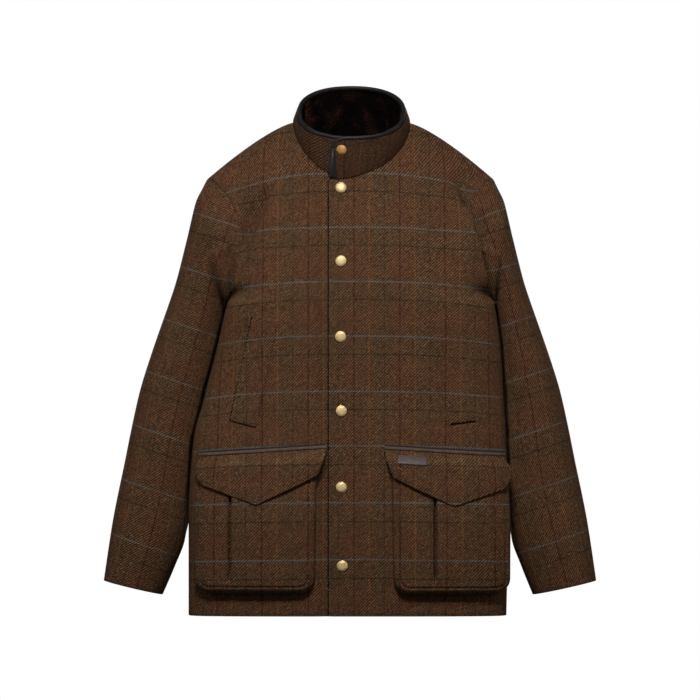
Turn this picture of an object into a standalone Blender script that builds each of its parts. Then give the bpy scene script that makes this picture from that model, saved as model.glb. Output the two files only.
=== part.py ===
"""A brown tweed field jacket, filled out and hollow, closed at the front with snaps.

Metres. +Z is up, the front faces -Y and +X is the wearer's left. The origin is the middle of the neck base,
level with the top of the shoulders. Every panel is drawn in its own side's coordinates, in which the outer
edge is positive, and is turned to the jacket's with its side, +1 for the wearer's left and -1 for the right.
"""

import math
from collections import namedtuple

import bmesh
import bpy
import numpy as np
from mathutils import Matrix, Vector

OBJECT_NAME = "tweed_jacket"

CLOTH = 0.003  # tweed with its backing
SEAM_GAP = 0.0010  # between pieces that are sewn together
SET_IN_GAP = 0.0016  # the same where a sleeve or the collar is set in
LIFT = 0.001  # what lies on a panel is this far off it
OVERLAP_STEP = 0.0064  # the under front lies this far behind the over front
OVER_EDGE = 0.033  # the over front ends this far past the middle
UNDER_EDGE = 0.016  # so does the under front
FALL_START = 0.058  # from the middle, where the under front starts to fall back
FALL_WIDTH = 0.020
SEAM_TURN = 0.7  # how far a seam's wall leans from one piece's normal to the other's
COLUMNS = 12  # squares across half a body

# The shoulder seam's end on the neckline.
SHOULDER_NECK = {1: (0.0940, 0.005, -0.003), -1: (0.0890, 0.005, -0.002)}
NECK_SQUARE = {1: 2.0, -1: 1.75}
NECK_LOW = -0.0944  # the neckline at the middle of the front
NECK_FRONT = -0.068
NAPE = (0.0, 0.073, 0.002)

COLLAR_HALF_WIDTH = 0.087  # the collar's top edge is a tilted oval
COLLAR_HALF_DEPTH = 0.067
COLLAR_TOP_MIDDLE = (0.0025, -0.004, 0.0165)
COLLAR_TILT = 0.0425
COLLAR_SQUARE = 2.25
COLLAR_CORNER = 0.021  # round top corner of the overlapping end
COLLAR_CORNER_DROP = 0.8
COLLAR_FACING_Y = 0.010  # the collar's points face away from this depth
COLLAR_ROWS = 4
COLLAR_END = 6  # columns of its overlapping end
LINING = 0.0025
LINING_GAP = 0.0014
LINING_RISE = 0.6  # the lining starts this share of a row above the neckline
LINING_END = 0.20  # and ends where the collar's ends overlap by this angle
BINDING_WIDTH = 0.0075
BINDING_SWELL = 0.001
BINDING_START_X = -0.004
BINDING_SHOULDER = 0.72  # height of its sides, as a share of its width

POCKET_CLOTH = 0.0018
FLAP_CLOTH = 0.0028
POCKET_DEPTH = 0.0165
POCKET_MOUTH = 0.009  # how far the bag stands off at its open mouth
POCKET_FALL = 0.14  # the height over which it reaches its full depth
PLEAT_STEP = 0.0016  # half the step across the pleat
PLEAT_SHARE = 0.012  # half its width, as a share of the bag's
FLAP_STEP = 0.0036  # the flap's outer face stands this far off the bag
FLAP_TURN = 0.022  # the height over which it turns out over the bag
FLAP_CORNER = 0.009
FLAP_CORNER_SHARE = 0.05
FLAP_BOW = 0.92
TRIM_HEIGHT = 0.0085
TRIM_STEP = 0.0006
WELT_CLOTH = 0.002
LABEL_SIZE = (0.045, 0.0125)
LABEL_SLOPE = 0.0035
LABEL_THICKNESS = 0.0014
LABEL_LIFT = 0.0012
SNAP_RADIUS = 0.0086
SNAP_HEIGHT = 0.0036
SNAP_STEPS = 14
SLEEVE_CLEARANCE = 0.004
SLEEVE_HEAD_SWELL = 0.006  # how far the sleeve head swells next to the armhole

# One row of a panel runs from the front edge, middle or neckline to the side seam or armhole.
Row = namedtuple("Row", "name steps inner_z depth neck outer_z right left outer_y turn square droop")
FRONT_ROWS = (
    Row("hem", 3, -0.789, -0.092, 0.0, -0.789, 0.258, 0.250, 0.0, 1.0, 4.0, 2.0),
    Row("pocket", 3, -0.640, -0.096, 0.0, -0.640, 0.258, 0.253, 0.0, 1.0, 4.0, 2.0),
    Row("hip", 2, -0.515, -0.095, 0.0, -0.515, 0.251, 0.250, 0.0, 1.0, 3.8, 2.0),
    Row("waist", 2, -0.446, -0.094, 0.0, -0.446, 0.234, 0.246, 0.0, 1.0, 3.6, 2.0),
    Row("chest", 2, -0.366, -0.096, 0.0, -0.366, 0.214, 0.241, 0.0, 1.0, 3.4, 2.0),
    Row("underarm", 2, -0.290, -0.097, 0.0, -0.290, 0.195, 0.229, 0.0, 1.0, 3.2, 2.0),
    Row("arm_low", 2, -0.245, -0.095, 0.0, -0.262, 0.1825, 0.212, -0.050, 0.93, 3.0, 2.0),
    Row("arm_middle", 2, -0.195, -0.090, 0.0, -0.215, 0.1765, 0.196, -0.063, 0.85, 2.8, 2.0),
    Row("arm_high", 2, -0.145, -0.081, 0.0, -0.165, 0.1775, 0.187, -0.060, 0.80, 2.6, 2.0),
    Row("neck_corner", 2, NECK_LOW, NECK_FRONT, 0.0, -0.130, 0.191, 0.196, -0.047, 0.75, 2.4, 2.0),
    Row("neck_low", 2, NECK_LOW, NECK_FRONT, 0.35, -0.109, 0.206, 0.2085, -0.034, 0.70, 2.2, 1.7),
    Row("neck_side", 3, NECK_LOW, NECK_FRONT, 0.68, -0.096, 0.2195, 0.2205, -0.017, 0.70, 2.0, 1.5),
    Row("shoulder", 0, NECK_LOW, NECK_FRONT, 1.0, -0.091, 0.2275, 0.2285, 0.005, 0.70, 2.0, 1.3),
)
BACK_ROWS = (
    Row("hem", 3, -0.789, 0.090, 0.0, -0.789, 0.258, 0.250, 0.0, 1.0, 2.7, 2.0),
    Row("pocket", 3, -0.640, 0.090, 0.0, -0.640, 0.258, 0.253, 0.0, 1.0, 2.6, 2.0),
    Row("hip", 2, -0.515, 0.089, 0.0, -0.515, 0.251, 0.250, 0.0, 1.0, 2.5, 2.0),
    Row("waist", 2, -0.446, 0.089, 0.0, -0.446, 0.234, 0.246, 0.0, 1.0, 2.4, 2.0),
    Row("chest", 2, -0.366, 0.095, 0.0, -0.366, 0.214, 0.241, 0.0, 1.0, 2.4, 2.0),
    Row("underarm", 2, -0.290, 0.099, 0.0, -0.290, 0.195, 0.229, 0.0, 1.0, 2.5, 2.0),
    Row("arm_low", 2, -0.235, 0.101, 0.0, -0.262, 0.1875, 0.217, 0.052, 0.93, 2.9, 2.0),
    Row("arm_middle", 2, -0.175, 0.101, 0.0, -0.215, 0.186, 0.205, 0.066, 0.85, 2.8, 2.0),
    Row("arm_high", 2, -0.115, 0.097, 0.0, -0.168, 0.188, 0.198, 0.064, 0.80, 2.6, 2.0),
    Row("blade", 1, -0.055, 0.088, 0.0, -0.136, 0.196, 0.201, 0.054, 0.75, 2.4, 2.0),
    Row("nape", 3, NAPE[2], NAPE[1], 0.0, -0.114, 0.2055, 0.2085, 0.042, 0.70, 2.2, 1.8),
    Row("neck_side", 3, NAPE[2], NAPE[1], 0.5, -0.098, 0.2185, 0.2200, 0.026, 0.70, 2.0, 1.55),
    Row("shoulder", 0, NAPE[2], NAPE[1], 1.0, -0.091, 0.2275, 0.2285, 0.005, 0.70, 2.0, 1.3),
)
UNDERARM = 5  # the rows below it meet the other panel at the side seam
CORNER = {"front": 9, "back": 10}  # the rows above it start on the neckline

# A fold is a soft trough along a line on the front: its ends, half-width and depth, below none for a ridge.
Fold = namedtuple("Fold", "name side x1 z1 x2 z2 width depth")
FOLDS = (
    Fold("right drape", -1, 0.136, -0.112, 0.168, -0.215, 0.018, 0.009),
    Fold("right drape edge", -1, 0.112, -0.130, 0.150, -0.245, 0.018, -0.003),
    Fold("left drape", 1, 0.166, -0.070, 0.192, -0.190, 0.020, 0.009),
    Fold("left drape edge", 1, 0.142, -0.085, 0.176, -0.230, 0.018, -0.003),
    Fold("right waist", -1, 0.150, -0.330, 0.205, -0.420, 0.030, 0.004),
    Fold("left chest", 1, 0.120, -0.120, 0.150, -0.260, 0.030, 0.003),
)

# One ring of a sleeve, by the two ends of its long axis seen from the front, its half-depth and middle in Y.
# The inner end is counted from the body's widest line at its height, below none where the sleeve tucks behind
# it, and lies this much further back than the outer end.
Ring = namedtuple("Ring", "name steps outer_x outer_z inner_gap inner_z half_depth middle_y inner_back")
SLEEVE_RINGS = (
    Ring("crown", 1, 0.2455, -0.126, 0.0095, -0.298, 0.073, 0.004, 0.000),
    Ring("cap", 1, 0.2615, -0.190, -0.007, -0.318, 0.072, 0.014, 0.030),
    Ring("upper", 2, 0.2790, -0.258, -0.010, -0.342, 0.073, 0.022, 0.022),
    Ring("biceps", 2, 0.3020, -0.325, -0.014, -0.378, 0.072, 0.028, 0.012),
    Ring("elbow", 2, 0.3370, -0.432, -0.016, -0.470, 0.070, 0.032, 0.004),
    Ring("forearm", 2, 0.3620, -0.550, -0.012, -0.582, 0.065, 0.026, 0.0),
    Ring("wrist", 2, 0.3800, -0.640, 0.006, -0.668, 0.058, 0.014, 0.0),
    Ring("cuff", 0, 0.3940, -0.7345, 0.0415, -0.7570, 0.049, 0.004, 0.0),
)

# A pocket by the ends of its bag and flap on the panel; x runs out from the middle.
Pocket = namedtuple(
    "Pocket",
    "name side bag_inner bag_outer bag_inner_low bag_outer_low mouth bottom corner pleat "
    "top_inner top_inner_z top_outer top_outer_z low_inner low_inner_z low_outer low_outer_z point point_z",
)
POCKETS = (
    Pocket("right", -1, 0.053, 0.2445, 0.056, 0.2425, -0.565, -0.7535, 0.024, 0.705,
           0.0385, -0.5240, 0.2375, -0.5368, 0.0455, -0.5600, 0.2340, -0.5770, 0.1480, -0.6115),
    Pocket("left", 1, 0.066, 0.2490, 0.069, 0.2475, -0.565, -0.7550, 0.024, 0.375,
           0.0550, -0.5255, 0.2440, -0.5370, 0.0630, -0.5640, 0.2410, -0.5840, 0.1640, -0.6140),
)

# A welt by its four corners: top and foot of the opening edge, then foot and top of the sewn edge.
Welt = namedtuple("Welt", "name side x1 z1 x2 z2 x3 z3 x4 z4")
WELTS = (
    Welt("right", -1, 0.1535, -0.310, 0.1890, -0.4780, 0.1500, -0.4880, 0.1150, -0.320),
    Welt("left", 1, 0.1700, -0.310, 0.1985, -0.4780, 0.1590, -0.4830, 0.1300, -0.318),
)
LABEL = ("left", 0.0760, -0.5335)  # pocket it lies on, inner top corner

SNAPS = (
    ("snap_1", -0.0144, -0.108), ("snap_2", -0.0144, -0.225), ("snap_3", -0.0150, -0.345),
    ("snap_4", -0.0138, -0.463), ("snap_5", -0.0138, -0.584), ("snap_6", -0.0122, -0.709),
)
COLLAR_SNAP = ("snap_7", -0.0120, -0.048)

COLOURS = {
    "tweed": (0.090, 0.055, 0.030, 1.0),
    "plush": (0.020, 0.010, 0.008, 1.0),
    "leather": (0.020, 0.015, 0.013, 1.0),
    "trim": (0.110, 0.085, 0.065, 1.0),
    "brass": (0.720, 0.530, 0.260, 1.0),
}


def smooth(values, at):
    """One table column, drawn smoothly through its rows without overshoot."""
    values = np.asarray(values, float)
    rises = np.diff(values)
    slopes = np.concatenate([rises[:1], np.zeros(len(rises) - 1), rises[-1:]])
    for k in range(1, len(rises)):
        if rises[k - 1] * rises[k] > 0:
            slopes[k] = 2 * rises[k - 1] * rises[k] / (rises[k - 1] + rises[k])
    k = min(int(at), len(rises) - 1)
    t = at - k
    return (
        values[k] * (1 + 2 * t) * (1 - t) ** 2
        + slopes[k] * t * (1 - t) ** 2
        + values[k + 1] * t * t * (3 - 2 * t)
        + slopes[k + 1] * t * t * (t - 1)
    )


def ease(t):
    t = np.clip(t, 0.0, 1.0)
    return t * t * (3 - 2 * t)


def stations(rows):
    """Where a table's rows and the steps between them lie, counted in rows."""
    found = []
    for index, row in enumerate(rows):
        found += [index + step / row.steps for step in range(row.steps)] or [index]
    return found


def row_at(rows, at):
    """A table's row between two of its rows."""
    numbers = {field: smooth([getattr(row, field) for row in rows], at) for field in rows[0]._fields[2:]}
    return rows[0]._replace(name="between", **numbers)


def neckline(face, side, along):
    """A point of the neckline, from the middle or front corner to the shoulder seam, in side coordinates."""
    turn = along * math.pi / 2
    end_x, end_y, end_z = SHOULDER_NECK[side]
    if face == "back":
        return (
            end_x * math.sin(turn),
            end_y + (NAPE[1] - end_y) * math.cos(turn),
            end_z + (NAPE[2] - end_z) * math.cos(turn),
        )
    start = -OVER_EDGE if side > 0 else -UNDER_EDGE
    middle = -OVER_EDGE if side > 0 else 0.0
    x = start + (end_x - start) * math.sin(turn)
    out = max(x - middle, 0.0) / (end_x - middle)
    y = end_y + (NECK_FRONT - end_y) * math.sqrt(max(0.0, 1 - (x / end_x) ** 2))
    square = NECK_SQUARE[side]
    return x, y, NECK_LOW + (end_z - NECK_LOW) * (1 - max(0.0, 1 - out**square) ** (1 / square))


def rounding(out, turn, square):
    """How far a row has turned from its inner depth to its outer one."""
    turn = min(turn, 1.0)
    full = 1 - (1 - turn**square) ** (1 / square)
    return (1 - (1 - (turn * out) ** square) ** (1 / square)) / full


def under_step(x):
    """How far the under front falls back behind the over front at this distance from the middle."""
    return OVERLAP_STEP * ease((FALL_START - x) / FALL_WIDTH)


def panel_row(face, side, row, columns):
    """One row of a panel as evenly spaced points, in side coordinates."""
    outer = row.left if side > 0 else row.right
    if row.neck > 0:
        inner, depth, inner_z = neckline(face, side, row.neck)
    else:
        inner = 0.0 if face == "back" else -(OVER_EDGE if side > 0 else UNDER_EDGE)
        depth, inner_z = row.depth, row.inner_z
    base = max(inner, 0.0)
    x = inner + (outer - inner) * np.sin(np.linspace(0.0, math.pi / 2, 90))
    out = np.clip((x - base) / (outer - base), 0.0, 1.0)
    y = depth + (row.outer_y - depth) * rounding(out, row.turn, row.square)
    z = inner_z + (row.outer_z - inner_z) * out**row.droop
    line = np.stack([x, y, z], axis=1)
    length = np.concatenate([[0.0], np.cumsum(np.linalg.norm(np.diff(line, axis=0), axis=1))])
    places = np.linspace(0.0, length[-1], columns + 1)
    return np.stack([np.interp(places, length, line[:, axis]) for axis in range(3)], axis=1)


def grid_normals(grid, outward):
    """Unit normals of a grid of points, all on the side of the outward vectors."""
    normals = np.cross(np.gradient(grid, axis=0), np.gradient(grid, axis=1))
    normals /= np.linalg.norm(normals, axis=2, keepdims=True)
    flip = np.sum(normals * outward, axis=2, keepdims=True) < 0
    return np.where(flip, -normals, normals)


def panel(face, side, columns=COLUMNS):
    """A panel's outer face as rows of points, in the jacket's coordinates."""
    rows = FRONT_ROWS if face == "front" else BACK_ROWS
    grid = np.array([panel_row(face, side, row_at(rows, at), columns) for at in stations(rows)])
    if face == "front":
        normals = grid_normals(grid, np.array([0.2, -1.0, 0.1]))
        trough = np.zeros(grid.shape[:2])
        for fold in FOLDS:
            if fold.side == side:
                start = np.array([fold.x1, fold.z1])
                line = np.array([fold.x2, fold.z2]) - start
                from_start = grid[:, :, [0, 2]] - start
                along = np.clip(from_start @ line / (line @ line), 0.0, 1.0)
                away = np.linalg.norm(from_start - along[:, :, None] * line, axis=2)
                trough += fold.depth * np.exp(-((away / fold.width) ** 2))
        trough[-1] = 0.0
        trough[:, -1] = 0.0
        grid = grid - trough[:, :, None] * normals
        if side < 0:
            grid[:, :, 1] += under_step(grid[:, :, 0])
    grid[:, :, 0] *= side
    return grid


def quads(grid_shape, first=0):
    """The squares of a grid whose points are numbered row by row from the first."""
    rows, columns = grid_shape
    return [
        (first + r * columns + c, first + r * columns + c + 1,
         first + (r + 1) * columns + c + 1, first + (r + 1) * columns + c)
        for r in range(rows - 1)
        for c in range(columns - 1)
    ]


def point_normals(points, faces):
    """Normals at points, from the faces around them. Points in the same place share theirs."""
    keys = [tuple(np.round(point, 6)) for point in points]
    sums = {}
    for face in faces:
        corners = points[list(face)]
        normal = np.cross(corners[2] - corners[0], corners[3] - corners[1])
        for index in face:
            sums[keys[index]] = sums.get(keys[index], 0.0) + normal
    normals = np.array([sums[key] for key in keys])
    return normals / np.linalg.norm(normals, axis=1, keepdims=True)


def unit(vector):
    return vector / np.linalg.norm(vector, axis=-1, keepdims=True)


def add_object(name, mesh, slot):
    material = bpy.data.materials.get(slot)
    if material is None:
        material = bpy.data.materials.new(slot)
        material.use_nodes = True
        material.node_tree.nodes["Principled BSDF"].inputs["Base Color"].default_value = COLOURS[slot]
    mesh.materials.append(material)
    thing = bpy.data.objects.new(name, mesh)
    bpy.data.collections[OBJECT_NAME].objects.link(thing)
    return thing


def grid_wall(name, slot, grid, walls):
    """A closed wall of a grid of points."""
    cloth_wall(name, slot, grid.reshape(-1, 3), quads(grid.shape[:2]), walls.reshape(-1, 3))


def cloth_wall(name, slot, points, faces, walls):
    """A closed wall between an outer face and the same face moved in along each point's wall."""
    work = bmesh.new()
    outer = [work.verts.new(point) for point in points]
    inner = [work.verts.new(point - wall) for point, wall in zip(points, walls)]
    edges = {}
    for face in faces:
        work.faces.new([outer[k] for k in face])
        work.faces.new([inner[k] for k in reversed(face)])
        for a, b in zip(face, face[1:] + face[:1]):
            edges[(a, b)] = True
    for a, b in edges:
        if (b, a) not in edges:
            work.faces.new([outer[b], outer[a], inner[a], inner[b]])
    return finished(name, slot, work)


def finished(name, slot, work):
    """The object of a closed mesh, with its faces turned outwards."""
    if work.calc_volume(signed=True) < 0:
        bmesh.ops.reverse_faces(work, faces=work.faces)
    mesh = bpy.data.meshes.new(name)
    work.to_mesh(mesh)
    work.free()
    return add_object(name, mesh, slot)


def seam_shift(grid, edge, inward):
    """A grid with one edge drawn back by half a seam's gap."""
    grid = grid.copy()
    grid[edge] += unit(grid[inward] - grid[edge]) * SEAM_GAP / 2
    return grid


def sleeve_grid(loop, side):
    """A sleeve's outer face, rings of points from the armhole to the cuff, in the jacket's coordinates."""
    # The loop runs from the shoulder tip down the front to the underarm and up the back.
    steps = np.linalg.norm(np.diff(loop, axis=0, append=loop[:1]), axis=1)
    length = np.concatenate([[0.0], np.cumsum(steps)])
    foot = int(np.argmin(loop[:, 2]))
    turn = np.where(
        np.arange(len(loop)) <= foot,
        math.pi * length[:-1] / length[foot],
        math.pi + math.pi * (length[:-1] - length[foot]) / (length[-1] - length[foot]),
    )
    rings = [loop]
    for at in stations(SLEEVE_RINGS):
        ring = row_at(SLEEVE_RINGS, at)
        inner_x = body_width(side, 0.0, ring.inner_z) + ring.inner_gap
        middle = np.array([(ring.outer_x + inner_x) / 2, ring.middle_y, (ring.outer_z + ring.inner_z) / 2])
        arm = np.array([(ring.outer_x - inner_x) / 2, 0.0, (ring.outer_z - ring.inner_z) / 2])
        points = middle + np.cos(turn)[:, None] * arm
        points[:, 1] += ring.inner_back * (1 - np.cos(turn)) / 2 - np.sin(turn) * ring.half_depth
        points[:, 0] *= side
        stand_clear(points, side)
        rings.append(points)
    bridge = (rings[0] + rings[1]) / 2
    away = unit(bridge - bridge.mean(axis=0))
    bridge += away * SLEEVE_HEAD_SWELL * np.abs(np.sin(turn))[:, None]
    rings.insert(1, bridge)
    return np.array(rings)


def stand_clear(points, side):
    """Moves a sleeve's points below the underarm out from the body."""
    for point in points:
        if point[2] < FRONT_ROWS[UNDERARM].inner_z:
            clear = body_width(side, point[1], point[2]) + SLEEVE_CLEARANCE
            point[0] = side * max(side * point[0], clear)


def body_width(side, y, z):
    """How far the body reaches out from the middle below the armhole, at this depth and height."""
    rows = FRONT_ROWS if y < 0 else BACK_ROWS
    at = np.linspace(0.0, UNDERARM, 101)
    row = row_at(rows, float(np.interp(z, [smooth([row.inner_z for row in rows], a) for a in at], at)))
    share = min(abs(y / row.depth), 1.0)
    return (row.left if side > 0 else row.right) * (1 - share**row.square) ** (1 / row.square)


def front_point(side, x, z, lift=0.0):
    """A point on a front panel, this far from the middle and this high, moved out, and the normal there."""
    at = np.linspace(0.0, CORNER["front"], 181)
    z_of = [smooth([row.inner_z for row in FRONT_ROWS], a) for a in at]

    def surface(px, pz):
        row = row_at(FRONT_ROWS, float(np.interp(pz, z_of, at)))
        out = min(abs(px) / (row.left if side > 0 else row.right), 0.9995)
        py = row.depth + (row.outer_y - row.depth) * rounding(out, row.turn, row.square)
        return np.array([px, py, pz])

    step = 0.0004
    across = surface(x + step, z) - surface(x - step, z)
    up = surface(x, z + step) - surface(x, z - step)
    normal = unit(np.cross(across, up))
    if normal[1] > 0:
        normal = -normal
    return surface(x, z) + normal * lift, normal


def patch(side, places):
    """Points laid on a front panel, in the jacket's coordinates, with the panel's normals under them."""
    found = [[front_point(side, *place) for place in row] for row in places]
    grid = np.array([[point for point, _ in row] for row in found])
    normals = np.array([[normal for _, normal in row] for row in found])
    grid[:, :, 0] *= side
    normals[:, :, 0] *= side
    return grid, normals


def laid_piece(name, slot, side, places, thickness, flat_edges=()):
    """A piece of cloth on a front panel, from its outer face's places. Flat edges end square on the panel."""
    grid, panel_normals = patch(side, places)
    normals = grid_normals(grid, panel_normals)
    for edge in flat_edges:
        below = panel_normals[edge]
        normals[edge] = unit(normals[edge] - np.sum(normals[edge] * below, axis=-1, keepdims=True) * below)
    grid_wall(name, slot, grid, normals * thickness)


def bag_depth(pocket, z):
    """How far a pocket's face stands off its panel at this height."""
    below = (max(pocket.top_inner_z, pocket.top_outer_z) - z) / POCKET_FALL
    return POCKET_MOUTH + (POCKET_DEPTH - POCKET_MOUTH) * float(ease(below))


def flap_lift(pocket, top_z, z):
    """How far a flap's outer face stands off the panel, so that it lies over the bag."""
    turned = float(ease((top_z - z) / FLAP_TURN))
    return LIFT + FLAP_CLOTH + (bag_depth(pocket, z) + FLAP_STEP) * turned


def make_pocket(pocket):
    """The bag, with a gusset round its sides and foot, a pleat and an open mouth."""
    across = [0.0, 0.03, 0.085, 0.22, 0.38, 0.54, 0.70, 0.84, 0.915, 0.97, 1.0]
    across = [a for a in across if abs(a - pocket.pleat) > 3 * PLEAT_SHARE]
    across = sorted(across + [pocket.pleat - PLEAT_SHARE, pocket.pleat + PLEAT_SHARE])
    places = []
    for b in (0.0, 0.22, 0.45, 0.68, 0.85, 0.91, 0.96, 1.0):
        z = pocket.mouth + (pocket.bottom - pocket.mouth) * b
        rise = z - pocket.bottom
        inset = 0.0
        if rise < pocket.corner:
            inset = pocket.corner - math.sqrt(pocket.corner**2 - (pocket.corner - rise) ** 2)
        inner = pocket.bag_inner + (pocket.bag_inner_low - pocket.bag_inner) * b + inset
        outer = pocket.bag_outer + (pocket.bag_outer_low - pocket.bag_outer) * b - inset
        foot = float(np.interp(b, [0.0, 0.91, 0.96, 1.0], [1.0, 1.0, 0.72, 0.0]))
        row = []
        for a in across:
            edge = float(np.interp(min(a, 1 - a), [0.0, 0.03, 0.085], [0.0, 0.72, 1.0]))
            lift = LIFT + bag_depth(pocket, z) * edge * foot
            fold = PLEAT_STEP if (a < pocket.pleat) == (pocket.side < 0) else -PLEAT_STEP
            row.append((inner + (outer - inner) * a, z, lift + fold * edge * foot * float(ease(b / 0.2))))
        places.append(row)
    sides = (np.s_[:, 0], np.s_[:, -1], np.s_[-1, :])
    laid_piece(f"pocket_{pocket.name}", "tweed", pocket.side, places, POCKET_CLOTH, sides)


def flap_middle(pocket):
    """Where a flap's point lies, as a share of its width."""
    return (pocket.point - pocket.low_inner) / (pocket.low_outer - pocket.low_inner)


def flap_edges(pocket, a):
    """A flap's top and foot at this share of its width, as two places."""
    top = (
        pocket.top_inner + (pocket.top_outer - pocket.top_inner) * a,
        pocket.top_inner_z + (pocket.top_outer_z - pocket.top_inner_z) * a,
    )
    low_x = pocket.low_inner + (pocket.low_outer - pocket.low_inner) * a
    middle = flap_middle(pocket)
    if a < middle:
        end_z, share = pocket.low_inner_z, a / middle
    else:
        end_z, share = pocket.low_outer_z, (1 - a) / (1 - middle)
    low_z = end_z + (pocket.point_z - end_z) * share**FLAP_BOW
    corner = FLAP_CORNER * max(0.0, 1 - min(a, 1 - a) / FLAP_CORNER_SHARE) ** 2
    return top, (low_x, low_z + corner)


def make_flap(pocket):
    across = [0.0, 0.025, 0.06, 0.18, 0.30, 0.42, flap_middle(pocket), 0.62, 0.74, 0.85, 0.94, 0.975, 1.0]
    places = []
    for b in (0.0, 0.12, 0.28, 0.52, 0.76, 1.0):
        row = []
        for a in across:
            (top_x, top_z), (low_x, low_z) = flap_edges(pocket, a)
            z = top_z + (low_z - top_z) * b
            row.append((top_x + (low_x - top_x) * b, z, flap_lift(pocket, top_z, z)))
        places.append(row)
    laid_piece(f"flap_{pocket.name}", "tweed", pocket.side, places, FLAP_CLOTH)


def make_trim(pocket):
    places = []
    for b in (1.0, 0.0):
        row = []
        for a in np.sin(np.linspace(0.0, math.pi / 2, 13)):
            (x, z), _ = flap_edges(pocket, float(a))
            row.append((x, z + TRIM_STEP + TRIM_HEIGHT * b, LIFT + FLAP_CLOTH))
        places.append(row)
    laid_piece(f"pocket_trim_{pocket.name}", "trim", pocket.side, places, FLAP_CLOTH - TRIM_STEP)


def make_label(pocket, x, z):
    places = []
    for b in (0.0, 0.5, 1.0):
        row = []
        for a in np.linspace(0.0, 1.0, 4):
            here_x = x + LABEL_SIZE[0] * float(a)
            here_z = z - LABEL_SIZE[1] * b - LABEL_SLOPE * float(a)
            share = (here_x - pocket.top_inner) / (pocket.top_outer - pocket.top_inner)
            top_z = pocket.top_inner_z + (pocket.top_outer_z - pocket.top_inner_z) * share
            row.append((here_x, here_z, flap_lift(pocket, top_z, here_z) + LABEL_LIFT + LABEL_THICKNESS))
        places.append(row)
    laid_piece("label_tab", "leather", pocket.side, places, LABEL_THICKNESS)


def make_welt(welt):
    places = []
    for b in np.linspace(0.0, 1.0, 8):
        open_x = welt.x1 + (welt.x2 - welt.x1) * b
        open_z = welt.z1 + (welt.z2 - welt.z1) * b
        sewn_x = welt.x4 + (welt.x3 - welt.x4) * b
        sewn_z = welt.z4 + (welt.z3 - welt.z4) * b
        places.append([
            (open_x + (sewn_x - open_x) * a, open_z + (sewn_z - open_z) * a, LIFT + WELT_CLOTH)
            for a in (0.0, 0.33, 0.67, 1.0)
        ])
    laid_piece(f"welt_{welt.name}", "tweed", welt.side, places, WELT_CLOTH)


def make_snap(name, point, normal):
    """A domed cap with a rolled rim, turned about its own axis and set on the cloth."""
    profile = [
        (SNAP_RADIUS * out, 0.0, SNAP_HEIGHT * up)
        for out, up in ((0, 1), (0.45, 0.93), (0.78, 0.70), (0.96, 0.40), (1, 0.15), (0.94, 0), (0, 0))
    ]
    mesh = bpy.data.meshes.new(name)
    mesh.from_pydata(profile, [(k, k + 1) for k in range(len(profile) - 1)], [])
    cap = add_object(name, mesh, "brass")
    turn = cap.modifiers.new("turn", "SCREW")
    turn.steps = SNAP_STEPS
    turn.render_steps = SNAP_STEPS
    turn.use_merge_vertices = True
    turn.merge_threshold = 1e-5
    turn.use_normal_calculate = True
    rotation = Vector((0.0, 0.0, 1.0)).rotation_difference(Vector(normal)).to_matrix().to_4x4()
    cap.matrix_world = Matrix.Translation(Vector(point + normal * LIFT * 0.6)) @ rotation


def collar_grid(edge, lined):
    """The collar's outer face from the neckline's points up, its normals and the angle of each column."""
    turn = np.unwrap(np.arctan2(edge[:, 0], -(edge[:, 1] - COLLAR_FACING_Y)))
    away = np.stack([np.sin(turn), -np.cos(turn), np.zeros(len(turn))], axis=1)
    power = COLLAR_SQUARE
    swell = (np.abs(np.sin(turn)) ** power + np.abs(np.cos(turn)) ** power) ** (-1 / power)
    across = swell * np.sin(turn)
    ahead = swell * np.cos(turn)
    top = np.array(COLLAR_TOP_MIDDLE) + np.stack(
        [COLLAR_HALF_WIDTH * across, -COLLAR_HALF_DEPTH * ahead, -COLLAR_TILT * ahead], axis=1
    )
    fall = under_step(-edge[:, 0])
    fall[lined:] = 0.0
    fall[edge[:, 1] > 0.0] = 0.0
    top -= away * fall[:, None]
    from_end = np.linalg.norm(edge - edge[-1], axis=1)
    from_end[: len(edge) // 2] = 1.0
    lower = np.clip(COLLAR_CORNER - from_end, 0.0, COLLAR_CORNER)
    drop = COLLAR_CORNER - np.sqrt(COLLAR_CORNER**2 - lower**2)
    top[:, 2] -= BINDING_WIDTH + drop * COLLAR_CORNER_DROP
    grid = np.array([edge + (top - edge) * row / COLLAR_ROWS for row in range(COLLAR_ROWS + 1)])
    return grid, grid_normals(grid, away[None, :, :]), turn


def sweep(name, slot, bases, outs, aways, sections):
    """A strip with its own outline at each place along a path."""
    work = bmesh.new()
    rings = []
    for base, out, away, section in zip(bases, outs, aways, sections):
        rings.append([work.verts.new(base + out * a + away * b) for a, b in section])
    for one, two in zip(rings, rings[1:]):
        for k in range(len(one)):
            after = (k + 1) % len(one)
            work.faces.new([one[k], one[after], two[after], two[k]])
    work.faces.new(rings[0][::-1])
    work.faces.new(rings[-1])
    finished(name, slot, work)


def row_number(face, index):
    """The grid row of a panel at which a row of its table lies."""
    rows = FRONT_ROWS if face == "front" else BACK_ROWS
    return sum(row.steps for row in rows[:index])


def body_walls(grids):
    """The normals of the four half panels' points, shared where the panels meet."""
    starts, points, faces = {}, [], []
    for (face, side), grid in grids.items():
        starts[face, side] = len(points)
        squares = quads(grid.shape[:2], len(points))
        faces += squares if (face == "front") == (side > 0) else [square[::-1] for square in squares]
        points += list(grid.reshape(-1, 3))
    normals = point_normals(np.array(points), faces)
    return {
        key: normals[starts[key]: starts[key] + grid[:, :, 0].size].reshape(grid.shape)
        for key, grid in grids.items()
    }


def armhole(front, back):
    """What two panels hold along the armhole, from the shoulder tip down the front and up the back."""
    low, back_low = row_number("front", UNDERARM), row_number("back", UNDERARM)
    return np.concatenate([front[low:][::-1], back[back_low + 1: -1]])


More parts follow.
